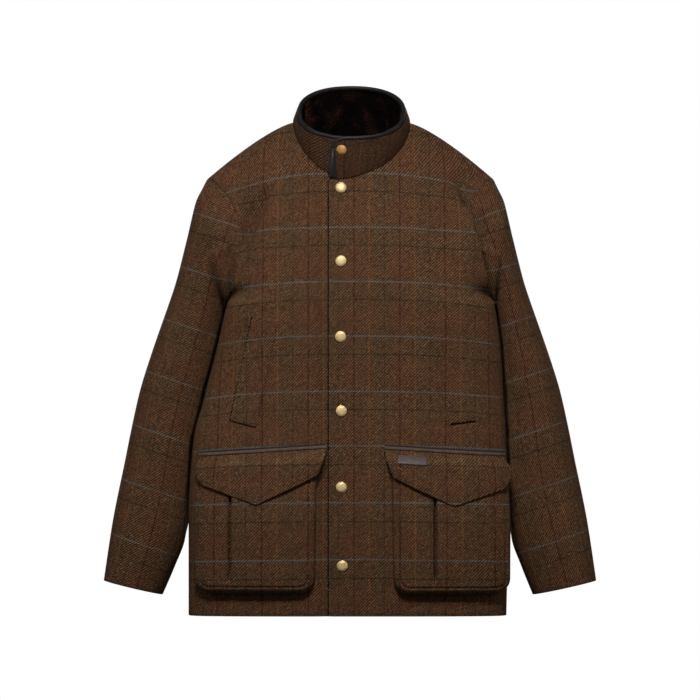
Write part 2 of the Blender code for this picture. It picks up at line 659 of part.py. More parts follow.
def set_in_sleeve(grids, walls, side):
    """A sleeve's rings and walls. The panels' walls at the armhole lean to meet the sleeve's."""
    front, back = grids["front", side], grids["back", side]
    low, back_low = row_number("front", UNDERARM), row_number("back", UNDERARM)
    foot = len(front) - low - 1
    loop = armhole(front[:, -1], back[:, -1])
    rings = sleeve_grid(loop, side)
    rings = np.concatenate([rings, rings[:, :1]], axis=1)
    sleeve_walls = point_normals(rings.reshape(-1, 3), quads(rings.shape[:2])).reshape(rings.shape)
    outward = rings - rings.mean(axis=1, keepdims=True)
    if np.sum(sleeve_walls * outward) < 0:
        sleeve_walls = -sleeve_walls

    panel_walls = armhole(walls["front", side][:, -1], walls["back", side][:, -1])
    shared = unit(panel_walls + SEAM_TURN * sleeve_walls[0, :-1])
    within = armhole(front[:, -2], back[:, -2]) - loop
    within[foot] = front[low - 1, -1] - front[low, -1]
    push = unit(np.cross(np.roll(loop, -1, axis=0) - np.roll(loop, 1, axis=0), shared))
    push[np.sum(push * within, axis=1) > 0] *= -1.0
    rings[0, :-1] += push * SET_IN_GAP
    rings[0, -1] = rings[0, 0]
    sleeve_walls[0, :-1] = shared
    sleeve_walls[0, -1] = shared[0]

    walls["front", side][low:, -1] = shared[: foot + 1][::-1]
    walls["back", side][back_low + 1: -1, -1] = shared[foot + 1:]
    walls["back", side][back_low, -1] = shared[foot]
    walls["back", side][-1, -1] = shared[0]
    return rings, sleeve_walls


def neck_edge(held):
    """What the panels hold along the neckline, from the under front's corner round to the over front's."""
    low, back_low = row_number("front", CORNER["front"]), row_number("back", CORNER["back"])
    return np.concatenate([
        held["front", -1][low:, 0], held["back", -1][back_low: -1, 0][::-1],
        held["back", 1][back_low + 1:, 0], held["front", 1][low: -1, 0][::-1],
    ])


def set_in_collar(grids, walls):
    """The collar's grid, normals and angles, once it is made. The panels' walls lean to meet its own."""
    low, back_low = row_number("front", CORNER["front"]), row_number("back", CORNER["back"])
    lined = len(grids["front", -1]) - low
    edge = neck_edge(grids)
    step = edge[-2] - edge[-1]
    edge[-1] += step * min((BINDING_WIDTH - SEAM_GAP / 2) / np.linalg.norm(step), 0.8)
    grid, normals, turn = collar_grid(edge, lined)
    shared = unit(neck_edge(walls) + SEAM_TURN * normals[0])
    push = unit(np.cross(np.gradient(edge, axis=0), shared))
    push[np.sum(push * (grid[1] - grid[0]), axis=1) < 0] *= -1.0
    grid[0] += push * SET_IN_GAP
    collar_walls = normals.copy()
    collar_walls[0] = shared
    grid_wall("collar", "tweed", grid, collar_walls * CLOTH)

    half = len(grids["back", -1]) - back_low
    nape = lined + half - 2
    walls["front", -1][low:, 0] = shared[:lined]
    walls["back", -1][back_low:, 0] = shared[lined - 1: lined + half - 1][::-1]
    walls["back", 1][back_low:, 0] = shared[nape: nape + half]
    walls["front", 1][low:, 0] = shared[nape + half - 1:][::-1]
    return grid, normals, turn, lined


def drawn_back(grid, face):
    """A panel drawn back from its shoulder and side seams by half a seam's gap."""
    below = row_number(face, UNDERARM) + 1
    grid = seam_shift(grid, np.s_[-1, :], np.s_[-2, :])
    return seam_shift(grid, np.s_[:below, -1], np.s_[:below, -2])


def make_body():
    """The fronts, back, sleeves and collar. Returns what the collar's lining and binding are made from."""
    grids = {(face, side): panel(face, side) for face in ("front", "back") for side in (1, -1)}
    walls = body_walls(grids)
    for side, name in ((1, "sleeve_left"), (-1, "sleeve_right")):
        rings, sleeve_walls = set_in_sleeve(grids, walls, side)
        faces = quads(rings.shape[:2])
        merged_wall(name, "tweed", rings.reshape(-1, 3), faces, sleeve_walls.reshape(-1, 3) * CLOTH)
    collar = set_in_collar(grids, walls)
    for side, name in ((1, "front_left"), (-1, "front_right")):
        grid_wall(name, "tweed", drawn_back(grids["front", side], "front"), walls["front", side] * CLOTH)
    points, faces, back_walls = [], [], []
    for side in (1, -1):
        grid = drawn_back(grids["back", side], "back")
        squares = quads(grid.shape[:2], len(points))
        faces += squares if side > 0 else [square[::-1] for square in squares]
        points += list(grid.reshape(-1, 3))
        back_walls += list(walls["back", side].reshape(-1, 3) * CLOTH)
    merged_wall("back", "tweed", points, faces, back_walls)
    return collar


def merged_wall(name, slot, points, faces, walls):
    """A wall whose points that lie in one place are one point first, as where a ring closes."""
    index, kept, kept_walls, number = {}, [], [], []
    for point, wall in zip(points, walls):
        key = tuple(np.round(point, 6))
        if key not in index:
            index[key] = len(kept)
            kept.append(point)
            kept_walls.append(wall)
        number.append(index[key])
    cloth_wall(name, slot, kept, [tuple(number[k] for k in face) for face in faces], kept_walls)


def make_collar_trim(grid, normals, turn, lined):
    """The plush lining inside the collar and the leather binding round its top and overlapping end."""
    last = int(np.argmax(turn < turn[0] - 2 * math.pi + LINING_END))
    if last <= lined:
        last = len(turn) - 1
    inside = grid[:, :last] - normals[:, :last] * (CLOTH + LINING_GAP)
    inside[0] += (inside[1] - inside[0]) * LINING_RISE
    grid_wall("collar_lining", "plush", inside, normals[:, :last] * LINING)

    start = int(np.argmax(grid[-1, :, 0] < BINDING_START_X))
    columns = list(range(start, grid.shape[1]))
    bases = [grid[-1, c] for c in columns] + [grid[r, -1] for r in range(COLLAR_ROWS - 1, 0, -1)]
    bases.append(grid[0, -1] * 0.9 + grid[1, -1] * 0.1)
    outs = [normals[-1, c] for c in columns] + [normals[r, -1] for r in range(COLLAR_ROWS - 1, -1, -1)]
    bases, outs = np.array(bases), np.array(outs)
    tangents = unit(np.gradient(bases, axis=0))
    aways = unit(np.cross(tangents, outs))
    if np.sum(aways[:, 2]) < 0:
        aways = -aways
    reach = np.array([CLOTH + BINDING_SWELL + (LINING_GAP + LINING if c < last else 0.0) for c in columns])
    reach = np.concatenate([reach, np.full(COLLAR_ROWS, CLOTH + BINDING_SWELL)])
    low, high, top = SEAM_GAP, BINDING_WIDTH * BINDING_SHOULDER, BINDING_WIDTH
    sections = [
        ((BINDING_SWELL, low), (BINDING_SWELL, high), (-r * 0.2, top), (-r * 0.8, top), (-r, high), (-r, low))
        for r in reach
    ]
    sweep("collar_binding", "leather", bases, outs, aways, sections)


def collar_point(grid, normals, x, z):
    """The point of the collar's end at this place seen from the front, and the normal there."""
    away = (grid[:, :, 0] - x) ** 2 + (grid[:, :, 2] - z) ** 2
    nearest = np.unravel_index(np.argmin(away), away.shape)
    base, normal = grid[nearest], normals[nearest]
    y = base[1] - (normal[0] * (x - base[0]) + normal[2] * (z - base[2])) / normal[1]
    return np.array([x, y, z]), normal


def main():
    for thing in list(bpy.data.objects):
        bpy.data.objects.remove(thing, do_unlink=True)
    bpy.context.scene.collection.children.link(bpy.data.collections.new(OBJECT_NAME))
    grid, normals, turn, lined = make_body()
    make_collar_trim(grid, normals, turn, lined)
    for pocket in POCKETS:
        make_pocket(pocket)
        make_flap(pocket)
        make_trim(pocket)
        if pocket.name == LABEL[0]:
            make_label(pocket, LABEL[1], LABEL[2])
    for welt in WELTS:
        make_welt(welt)
    for name, x, z in SNAPS:
        point, normal = front_point(1, x, z)
        make_snap(name, point, normal)
    name, x, z = COLLAR_SNAP
    point, normal = collar_point(grid[:, -COLLAR_END:], normals[:, -COLLAR_END:], x, z)
    make_snap(name, point, normal)


main()
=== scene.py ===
# Tweed field jacket: cloth shells, stitching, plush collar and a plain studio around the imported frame
import math

import bmesh
import bpy
import numpy as np
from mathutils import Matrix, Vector


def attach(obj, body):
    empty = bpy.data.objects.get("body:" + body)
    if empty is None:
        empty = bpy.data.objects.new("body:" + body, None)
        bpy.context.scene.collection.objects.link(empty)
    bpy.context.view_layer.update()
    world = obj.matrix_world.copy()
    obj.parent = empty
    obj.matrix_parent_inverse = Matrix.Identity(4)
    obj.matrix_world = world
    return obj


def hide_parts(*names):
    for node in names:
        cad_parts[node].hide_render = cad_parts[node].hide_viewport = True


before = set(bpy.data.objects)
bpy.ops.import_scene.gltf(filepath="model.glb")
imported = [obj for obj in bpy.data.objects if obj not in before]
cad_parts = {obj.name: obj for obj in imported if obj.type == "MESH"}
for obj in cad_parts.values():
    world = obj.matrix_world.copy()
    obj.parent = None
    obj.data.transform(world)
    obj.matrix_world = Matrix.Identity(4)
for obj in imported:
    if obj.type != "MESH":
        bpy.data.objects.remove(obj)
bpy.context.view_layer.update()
print("frame loaded")

cloth = {
    "thickness": 0.0022,
    "seamSink": 0.0010,  # a pressed seam lies this much lower than the cloth around it
    "seamThin": 0.0010,  # and is this thick
    "seamGap": 0.0004,
    "deepSeam": (-0.310, -0.170),  # heights where the armhole seam lies in a deep fold and isn't pressed
    "deepFade": (0.02, 0.03),
    "rowSpacing": 0.006,
    "columns": 72,  # across half a body
    "columnDraw": 0.35,  # how much closer they stand at the outer edge
    "edgeRoll": 0.7,  # how round a free edge is
}

body = {
    "overEdge": 0.033,
    "underEdge": 0.016,
    "overlapStep": 0.0064,  # the under front lies this far behind the over front
    "stepStart": 0.058,
    "stepLength": 0.020,
    "neckLow": -0.0944,
    "neckFront": -0.068,
    "nape": (0.0, 0.073, 0.002),
    "shoulderNeck": {1: (0.0940, 0.005, -0.003), -1: (0.0890, 0.005, -0.002)},
    "neckSquare": {1: 2.0, -1: 1.75},
    "hemStitch": -0.7715,
    "flyStitch": 0.0176,
}

rowFields = ("innerZ", "depth", "neck", "outerZ", "right", "left", "outerY", "turn", "square", "droop")
frontRows = {
    "hem": (-0.789, -0.092, 0.0, -0.789, 0.258, 0.250, 0.0, 1.0, 4.0, 2.0),
    "pocket": (-0.640, -0.096, 0.0, -0.640, 0.258, 0.253, 0.0, 1.0, 4.0, 2.0),
    "hip": (-0.515, -0.095, 0.0, -0.515, 0.251, 0.250, 0.0, 1.0, 3.8, 2.0),
    "waist": (-0.446, -0.094, 0.0, -0.446, 0.234, 0.246, 0.0, 1.0, 3.6, 2.0),
    "chest": (-0.366, -0.096, 0.0, -0.366, 0.214, 0.241, 0.0, 1.0, 4.0, 2.0),
    "underarm": (-0.290, -0.097, 0.0, -0.290, 0.195, 0.229, 0.0, 1.0, 5.0, 2.0),
    "armLow": (-0.245, -0.095, 0.0, -0.262, 0.1825, 0.212, -0.050, 0.93, 4.4, 2.0),
    "armMiddle": (-0.195, -0.090, 0.0, -0.215, 0.1765, 0.196, -0.063, 0.85, 3.2, 2.0),
    "armHigh": (-0.145, -0.081, 0.0, -0.165, 0.1775, 0.187, -0.060, 0.80, 2.6, 2.0),
    "neckCorner": (-0.0944, -0.068, 0.0, -0.130, 0.191, 0.196, -0.047, 0.75, 2.4, 2.0),
    "neckLow": (-0.0944, -0.068, 0.35, -0.109, 0.206, 0.2085, -0.034, 0.70, 2.2, 1.7),
    "neckSide": (-0.0944, -0.068, 0.68, -0.096, 0.2195, 0.2205, -0.017, 0.70, 2.0, 1.5),
    "shoulder": (-0.0944, -0.068, 1.0, -0.091, 0.2275, 0.2285, 0.005, 0.70, 2.0, 1.3),
}
backRows = {
    "hem": (-0.789, 0.090, 0.0, -0.789, 0.258, 0.250, 0.0, 1.0, 2.7, 2.0),
    "pocket": (-0.640, 0.090, 0.0, -0.640, 0.258, 0.253, 0.0, 1.0, 2.6, 2.0),
    "hip": (-0.515, 0.089, 0.0, -0.515, 0.251, 0.250, 0.0, 1.0, 2.5, 2.0),
    "waist": (-0.446, 0.089, 0.0, -0.446, 0.234, 0.246, 0.0, 1.0, 2.4, 2.0),
    "chest": (-0.366, 0.095, 0.0, -0.366, 0.214, 0.241, 0.0, 1.0, 2.4, 2.0),
    "underarm": (-0.290, 0.099, 0.0, -0.290, 0.195, 0.229, 0.0, 1.0, 2.5, 2.0),
    "armLow": (-0.235, 0.101, 0.0, -0.262, 0.1875, 0.217, 0.052, 0.93, 2.9, 2.0),
    "armMiddle": (-0.175, 0.101, 0.0, -0.215, 0.186, 0.205, 0.066, 0.85, 2.8, 2.0),
    "armHigh": (-0.115, 0.097, 0.0, -0.168, 0.188, 0.198, 0.064, 0.80, 2.6, 2.0),
    "blade": (-0.055, 0.088, 0.0, -0.136, 0.196, 0.201, 0.054, 0.75, 2.4, 2.0),
    "nape": (0.002, 0.073, 0.0, -0.114, 0.2055, 0.2085, 0.042, 0.70, 2.2, 1.8),
    "neckSide": (0.002, 0.073, 0.5, -0.098, 0.2185, 0.2200, 0.026, 0.70, 2.0, 1.55),
    "shoulder": (0.002, 0.073, 1.0, -0.091, 0.2275, 0.2285, 0.005, 0.70, 2.0, 1.3),
}
underarm = list(frontRows).index("underarm")  # rows below it end on the side seam
neckCorner = {"front": list(frontRows).index("neckCorner"), "back": list(backRows).index("nape")}

# Soft creases on the body: face, side, start and end, half-width, and depth, which is below zero for a ridge
creases = (
    ("front", -1, (0.112, -0.130), (0.150, -0.245), 0.018, -0.0030),
    ("front", -1, (0.150, -0.330), (0.205, -0.420), 0.030, 0.0040),
    ("front", -1, (0.060, -0.150), (0.085, -0.300), 0.040, 0.0020),
    ("front", -1, (0.030, -0.330), (0.050, -0.500), 0.034, 0.0016),
    ("front", -1, (0.100, -0.420), (0.060, -0.520), 0.026, -0.0014),
    ("front", 1, (0.142, -0.085), (0.176, -0.230), 0.018, -0.0030),
    ("front", 1, (0.120, -0.120), (0.150, -0.260), 0.030, 0.0030),
    ("front", 1, (0.070, -0.300), (0.045, -0.480), 0.036, 0.0018),
    ("front", 1, (0.185, -0.330), (0.150, -0.430), 0.028, 0.0020),
    ("front", 1, (0.090, -0.380), (0.120, -0.500), 0.026, -0.0014),
    ("back", -1, (0.120, -0.090), (0.165, -0.230), 0.024, 0.0060),
    ("back", -1, (0.060, -0.240), (0.080, -0.520), 0.030, 0.0034),
    ("back", -1, (0.140, -0.380), (0.170, -0.700), 0.034, 0.0040),
    ("back", -1, (0.030, -0.560), (0.040, -0.780), 0.026, -0.0026),
    ("back", 1, (0.125, -0.085), (0.175, -0.215), 0.026, 0.0065),
    ("back", 1, (0.050, -0.300), (0.062, -0.600), 0.028, 0.0036),
    ("back", 1, (0.130, -0.330), (0.150, -0.640), 0.036, 0.0034),
    ("back", 1, (0.090, -0.600), (0.100, -0.780), 0.024, -0.0028),
)

# The fold from each shoulder to the armhole: its line by height, depth, and width on the chest and arm sides
chestFolds = {
    -1: ((-0.300, -0.226, -0.190, -0.150, -0.126, -0.095), (0.186, 0.181, 0.166, 0.149, 0.137, 0.128),
         0.0190, 0.008, 0.024),
    1: ((-0.250, -0.182, -0.142, -0.100, -0.070, -0.050), (0.214, 0.206, 0.191, 0.179, 0.171, 0.167),
        0.0150, 0.008, 0.022),
}
foldEnds = {-1: (-0.095, -0.235), 1: (-0.055, -0.215)}
foldFade = (0.06, 0.04)
foldSlant = 0.9  # distance across the fold for each step sideways

# Below it the front rolls over the armhole seam: heights, and how far out it reaches there
armRolls = {
    -1: ((-0.290, -0.268, -0.238, -0.205), (0.0, 0.007, 0.006, 0.0)),
    1: ((-0.295, -0.275, -0.250, -0.205, -0.160, -0.125), (0.0, 0.009, 0.018, 0.021, 0.016, 0.0)),
}
rollPeak = 4.0  # columns from the edge to the roll's crest
rollForward = 0.45

check = {
    "width": 0.0728,
    "height": 0.0868,
    "firstLine": 0.0064,
    # heights of the blue lines at the middle of the front, with one more step at each end
    "blueLines": (
        0.1100, 0.0240, -0.0848, -0.1712, -0.2576, -0.3440, -0.4320, -0.5184, -0.6088, -0.6992, -0.7890,
    ),
    "firstCount": -2,
    "droopAt": (-0.79, -0.60, -0.50, -0.43, -0.34, -0.26, -0.17, -0.09),
    "droopBy": (0.0010, 0.0026, 0.0055, 0.0075, 0.0110, 0.0125, 0.0130, 0.0360),  # fall at the droop's reach
    "droopLeft": 0.75,  # the jacket's left front falls this much as far
    "droopReach": 0.19,
    "droopCurve": 2.8,
    "sleeveDown": (0.313, -0.950),  # direction along a sleeve, seen from the front
    "sleeveFirst": {1: 0.2114, -1: 0.2175},
    "sleeveStep": 0.0882,
}


def ease(t):
    t = np.clip(t, 0.0, 1.0)
    return t * t * (3 - 2 * t)


def unit(vectors):
    return vectors / np.maximum(np.linalg.norm(vectors, axis=-1, keepdims=True), 1e-12)


def smoothColumns(values, at):  # a table drawn smoothly through its rows without overshoot
    values = np.asarray(values, float)
    at = np.asarray(at, float)
    rises = np.diff(values, axis=0)
    product = rises[:-1] * rises[1:]
    safe = np.where(product > 0, rises[:-1] + rises[1:], 1.0)
    slopes = np.concatenate([rises[:1], np.where(product > 0, 2 * product / safe, 0.0), rises[-1:]])
    k = np.minimum(at.astype(int), len(rises) - 1)
    t = (at - k).reshape(-1, *[1] * (values.ndim - 1))
    start = values[k] * (1 + 2 * t) * (1 - t) ** 2 + slopes[k] * t * (1 - t) ** 2
    return start + values[k + 1] * t * t * (3 - 2 * t) + slopes[k + 1] * t * t * (t - 1)


def rowsAt(rows, at):
    return dict(zip(rowFields, smoothColumns(list(rows.values()), at).T))


def rounding(out, turn, square):  # how far a row has turned from its inner depth to its outer one
    turn = np.minimum(turn, 1.0)
    full = 1 - (1 - turn**square) ** (1 / square)
    return (1 - np.maximum(1 - (turn * out) ** square, 0.0) ** (1 / square)) / full


def underStep(x):
    return body["overlapStep"] * ease((body["stepStart"] - x) / body["stepLength"])


def neckline(face, side, along):
    turn = along * math.pi / 2
    endX, endY, endZ = body["shoulderNeck"][side]
    if face == "back":
        nape = body["nape"]
        return (
            endX * math.sin(turn),
            endY + (nape[1] - endY) * math.cos(turn),
            endZ + (nape[2] - endZ) * math.cos(turn),
        )
    start = -body["overEdge"] if side > 0 else -body["underEdge"]
    middle = start if side > 0 else 0.0
    x = start + (endX - start) * math.sin(turn)
    out = max(x - middle, 0.0) / (endX - middle)
    y = endY + (body["neckFront"] - endY) * math.sqrt(max(0.0, 1 - (max(x, 0.0) / endX) ** 2))
    square = body["neckSquare"][side]
    rise = 1 - max(0.0, 1 - out**square) ** (1 / square)
    return x, y, body["neckLow"] + (endZ - body["neckLow"]) * rise


def creaseDepth(face, side, x, z):
    depth = np.zeros(np.shape(x))
    for creaseFace, creaseSide, start, end, width, deep in creases:
        if (creaseFace, creaseSide) != (face, side):
            continue
        lineX, lineZ = end[0] - start[0], end[1] - start[1]
        along = ((x - start[0]) * lineX + (z - start[1]) * lineZ) / (lineX**2 + lineZ**2)
        near = np.clip(along, 0.0, 1.0)
        bow = 0.18 * width * np.sin(near * math.pi * 1.7)  # no crease is quite straight
        away = np.hypot(x - start[0] - near * lineX - bow, z - start[1] - near * lineZ)
        fade = 0.35 + 0.65 * ease(np.minimum(near, 1 - near) / 0.3)
        depth += deep * fade * np.exp(-((away / width) ** 2))
    if face == "front":
        heights, places, deep, chestWidth, armWidth = chestFolds[side]
        off = (x - np.interp(z, heights, places)) * foldSlant
        high, low = foldEnds[side]
        fade = ease((high - z) / foldFade[0]) * ease((z - low) / foldFade[1])
        depth = depth + deep * fade * np.exp(-((off / np.where(off < 0, chestWidth, armWidth)) ** 2))
    return depth


def rollOver(side, grid):  # the cloth beside the armhole hangs out over the seam
    heights, reach = armRolls[side]
    fromEdge = np.arange(grid.shape[1])[::-1]
    crest = (fromEdge / rollPeak) * np.exp(1 - fromEdge / rollPeak)
    out = np.interp(grid[:, :, 2], heights, reach) * crest[None, :]
    for _ in range(2):
        out[1:-1] = (out[:-2] + 2 * out[1:-1] + out[2:]) / 4
    grid[:, :, 0] += out
    grid[:, :, 1] -= rollForward * out


def frontSurface(side, x, z):
    x, z = np.broadcast_arrays(np.asarray(x, float), np.asarray(z, float))
    atTable = np.linspace(0.0, neckCorner["front"], 400)
    heights = rowsAt(frontRows, atTable)["innerZ"]

    def place(px, pz):
        row = rowsAt(frontRows, np.interp(pz, heights, atTable).ravel())
        row = {field: column.reshape(px.shape) for field, column in row.items()}
        out = np.minimum(np.abs(px) / (row["left"] if side > 0 else row["right"]), 0.9995)
        y = row["depth"] + (row["outerY"] - row["depth"]) * rounding(out, row["turn"], row["square"])
        y = y + creaseDepth("front", side, px, pz)
        return np.stack([px, y, pz], axis=-1)

    step = 0.0004
    alongX = place(x + step, z) - place(x - step, z)
    alongZ = place(x, z + step) - place(x, z - step)
    normals = unit(np.cross(alongX, alongZ))
    normals = np.where(normals[..., 1:2] > 0, -normals, normals)
    return place(x, z), normals


def frontArc(side, x, z):  # cloth from the middle of the front to this place
    share = np.linspace(0.0, 1.0, 40)
    points, _ = frontSurface(side, x[..., None] * share, np.repeat(z[..., None], len(share), axis=-1))
    return np.sign(x) * np.linalg.norm(np.diff(points, axis=-2), axis=-1).sum(axis=-1)


def chart(side, arc, x, z):  # where the cloth's check runs; whole numbers are its red and blue lines
    reach = np.abs(x / check["droopReach"]) ** check["droopCurve"]
    fall = np.interp(z, check["droopAt"], check["droopBy"]) * reach
    fall = fall * (check["droopLeft"] if side > 0 else 1.0)
    lines = np.array(check["blueLines"])
    counts = check["firstCount"] + np.arange(len(lines))
    down = np.interp(z + fall, lines[::-1], counts[::-1])
    return np.stack([(side * arc - check["firstLine"]) / check["width"], down], axis=-1)


def sleeveChart(side, arc, x, z):
    downX, downZ = check["sleeveDown"]
    down = (np.abs(x) * downX + z * downZ - check["sleeveFirst"][side]) / check["sleeveStep"]
    return np.stack([(side * arc - check["firstLine"]) / check["width"], down], axis=-1)


def panelStations(rows):
    table = rowsAt(rows, np.arange(len(rows)))
    reach = np.maximum(np.abs(np.diff(table["innerZ"])), np.abs(np.diff(table["outerZ"])))
    reach = np.maximum(reach, 0.13 * np.diff(table["neck"]))
    steps = np.maximum(3, np.ceil(reach / cloth["rowSpacing"])).astype(int)
    return np.concatenate([k + np.arange(n) / n for k, n in enumerate(steps)] + [[len(steps)]])


def gridNormals(grid, outward):
    normals = unit(np.cross(np.gradient(grid, axis=0), np.gradient(grid, axis=1)))
    return np.where(np.sum(normals * outward, axis=2, keepdims=True) < 0, -normals, normals)


def panelGrid(face, side):  # a panel's outer face, with its cloth measured from the middle
    rows = frontRows if face == "front" else backRows
    stations = panelStations(rows)
    table = rowsAt(rows, stations)
    points, arcs = [], []
    for k in range(len(stations)):
        row = {field: column[k] for field, column in table.items()}
        outer = row["left"] if side > 0 else row["right"]
        if row["neck"] > 1e-9:
            inner, depth, innerZ = neckline(face, side, row["neck"])
        else:
            edge = body["overEdge"] if side > 0 else body["underEdge"]
            inner = 0.0 if face == "back" else -edge
            depth, innerZ = row["depth"], row["innerZ"]
        base = max(inner, 0.0)
        x = inner + (outer - inner) * np.sin(np.linspace(0.0, math.pi / 2, 240))
        out = np.clip((x - base) / (outer - base), 0.0, 1.0)
        y = depth + (row["outerY"] - depth) * rounding(out, row["turn"], row["square"])
        z = innerZ + (row["outerZ"] - innerZ) * out ** row["droop"]
        line = np.stack([x, y, z], axis=1)
        length = np.concatenate([[0.0], np.cumsum(np.linalg.norm(np.diff(line, axis=0), axis=1))])
        share = np.linspace(0.0, 1.0, cloth["columns"] + 1)
        places = length[-1] * (share + cloth["columnDraw"] * np.sin(math.pi * share) / math.pi)
        points.append(np.stack([np.interp(places, length, line[:, axis]) for axis in range(3)], axis=1))
        arcs.append(inner + places)
    grid, arcs = np.array(points), np.array(arcs)
    flatX, flatZ = grid[:, :, 0].copy(), grid[:, :, 2].copy()
    sunk = creaseDepth(face, side, grid[:, :, 0], grid[:, :, 2])
    edgeFade = np.minimum(np.arange(len(grid))[::-1, None], np.arange(grid.shape[1])[None, ::-1]) / 6
    grid = grid - gridNormals(grid, np.array([0.2, -1.0 if face == "front" else 1.0, 0.1])) * (
        sunk * ease(edgeFade)
    )[:, :, None]
    if face == "front":
        rollOver(side, grid)
    runs = np.linalg.norm(np.diff(grid, axis=1), axis=2)
    arcs = arcs[:, :1] + np.concatenate([np.zeros((len(grid), 1)), np.cumsum(runs, axis=1)], axis=1)
    chartPlaces = chart(side, arcs, flatX, flatZ)
    if face == "front" and side < 0:
        grid[:, :, 1] += underStep(grid[:, :, 0])
    grid[:, :, 0] *= side
    return grid, chartPlaces, stations


def gridFaces(shape, first=0, flip=False):
    rows, columns = shape
    index = first + np.arange(rows * columns).reshape(rows, columns)
    around = [index[:-1, :-1], index[:-1, 1:], index[1:, 1:], index[1:, :-1]]
    faces = np.stack(around, axis=-1).reshape(-1, 4)
    return faces[:, ::-1] if flip else faces


def meshObject(name, points, faces, uv=None, material=None):
    mesh = bpy.data.meshes.new(name)
    mesh.from_pydata([tuple(point) for point in points], [], [tuple(face) for face in faces])
    if uv is not None:
        layer = mesh.uv_layers.new(name="chart")
        layer.data.foreach_set("uv", np.asarray(uv, np.float32).ravel())
    mesh.polygons.foreach_set("use_smooth", [True] * len(mesh.polygons))
    if material is not None:
        mesh.materials.append(material)
    thing = bpy.data.objects.new(name, mesh)
    bpy.context.scene.collection.objects.link(thing)
    return thing


def clothShell(name, sheets, material, thickness=None, seams=None, roll=None):
    # One closed shell of cloth from grids (points, chart, flip); seams says how pressed each grid point is
    thickness = thickness or cloth["thickness"]
    roll = cloth["edgeRoll"] if roll is None else roll
    points = np.concatenate([grid.reshape(-1, 3) for grid, _, _ in sheets])
    charts = np.concatenate([uv.reshape(-1, 2) for _, uv, _ in sheets])
    starts = np.cumsum([0] + [grid.shape[0] * grid.shape[1] for grid, _, _ in sheets])
    faces = np.concatenate([
        gridFaces(grid.shape[:2], start, flip) for (grid, _, flip), start in zip(sheets, starts)
    ])
    keys = np.round(points, 6)
    _, firsts, number = np.unique(keys, axis=0, return_index=True, return_inverse=True)
    number = number.ravel()
    outer = points[firsts]
    quads = number[faces]
    press = np.zeros(len(outer))
    if seams is not None:
        press = np.concatenate([seam.ravel() for seam in seams])[firsts]
    cross = np.cross(outer[quads[:, 2]] - outer[quads[:, 0]], outer[quads[:, 3]] - outer[quads[:, 1]])
    normals = np.zeros_like(outer)
    middles = np.zeros_like(outer)
    counts = np.zeros(len(outer))
    for corner in range(4):
        np.add.at(normals, quads[:, corner], cross)
        np.add.at(middles, quads[:, corner], outer[quads].mean(axis=1))
        np.add.at(counts, quads[:, corner], 1)
    normals = unit(normals)
    away = outer - middles / counts[:, None]
    outer = outer - normals * (press * cloth["seamSink"])[:, None]
    walls = thickness + (cloth["seamThin"] - thickness) * press
    inner = outer - normals * walls[:, None]
    edges = {}
    for face, flatFace in zip(quads.tolist(), faces.tolist()):
        for k in range(4):
            edges[face[k], face[(k + 1) % 4]] = (flatFace[k], flatFace[(k + 1) % 4])
    rims = [(a, b, places) for (a, b), places in edges.items() if (b, a) not in edges]
    tangents = np.zeros_like(outer)
    for a, b, _ in rims:
        tangents[a] += outer[b] - outer[a]
        tangents[b] += outer[b] - outer[a]
    onRim = sorted({a for a, _, _ in rims} | {b for _, b, _ in rims})
    rimPlace = {vertex: k for k, vertex in enumerate(onRim)}
    out = unit(np.cross(normals[onRim], tangents[onRim]))
    out *= np.where(np.sum(out * away[onRim], axis=1, keepdims=True) < 0, -1.0, 1.0)
    middle = (outer[onRim] + inner[onRim]) / 2
    half = walls[onRim, None] / 2
    bends = [
        middle + half * (math.cos(angle) * normals[onRim] + roll * math.sin(angle) * out)
        for angle in (math.pi / 4, math.pi / 2, 3 * math.pi / 4)
    ]
    count = len(outer)
    allPoints = np.concatenate([outer, inner] + bends)
    allFaces = np.concatenate([quads, count + quads[:, ::-1]]).tolist()
    allCharts = [charts[faces], charts[faces[:, ::-1]]]
    rimCharts = []
    layers = len(bends) + 2

    def rimVertex(vertex, layer):
        if layer == 0:
            return vertex
        if layer == layers - 1:
            return count + vertex
        return 2 * count + (layer - 1) * len(onRim) + rimPlace[vertex]

    for a, b, (placeA, placeB) in rims:
        for layer in range(layers - 1):
            allFaces.append([
                rimVertex(b, layer), rimVertex(a, layer), rimVertex(a, layer + 1), rimVertex(b, layer + 1)
            ])
            rimCharts.append(charts[[placeB, placeA, placeA, placeB]])
    allCharts.append(np.array(rimCharts))
    return meshObject(name, allPoints, allFaces, np.concatenate(allCharts), material)


def finishCloth(piece, node):
    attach(piece, "root")
    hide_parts(node)


# Shader nodes
def addNode(tree, kind, sockets=None, **settings):
    made = tree.nodes.new(kind)
    for name, value in settings.items():
        setattr(made, name, value)
    for name, value in (sockets or {}).items():
        if isinstance(value, bpy.types.NodeSocket):
            tree.links.new(value, made.inputs[name])
        else:
            made.inputs[name].default_value = value
    return made


def calc(tree, operation, first, second=0.0, third=0.0):
    node = addNode(tree, "ShaderNodeMath", {0: first, 1: second, 2: third}, operation=operation)
    return node.outputs[0]


def mixColours(tree, share, first, second, blend="MIX"):
    node = addNode(tree, "ShaderNodeMix", data_type="RGBA", blend_type=blend)
    for socket, value in ((node.inputs[0], share), (node.inputs[6], first), (node.inputs[7], second)):
        if isinstance(value, bpy.types.NodeSocket):
            tree.links.new(value, socket)
        else:
            socket.default_value = value
    return node.outputs[2]


def screenLight(level):  # a screen's level, from 0 to 255, as light
    share = level / 255
    return share / 12.92 if level < 10.3 else ((share + 0.055) / 1.055) ** 2.4


def colour(red, green, blue):  # a colour as a screen shows it
    return (screenLight(red), screenLight(green), screenLight(blue), 1.0)


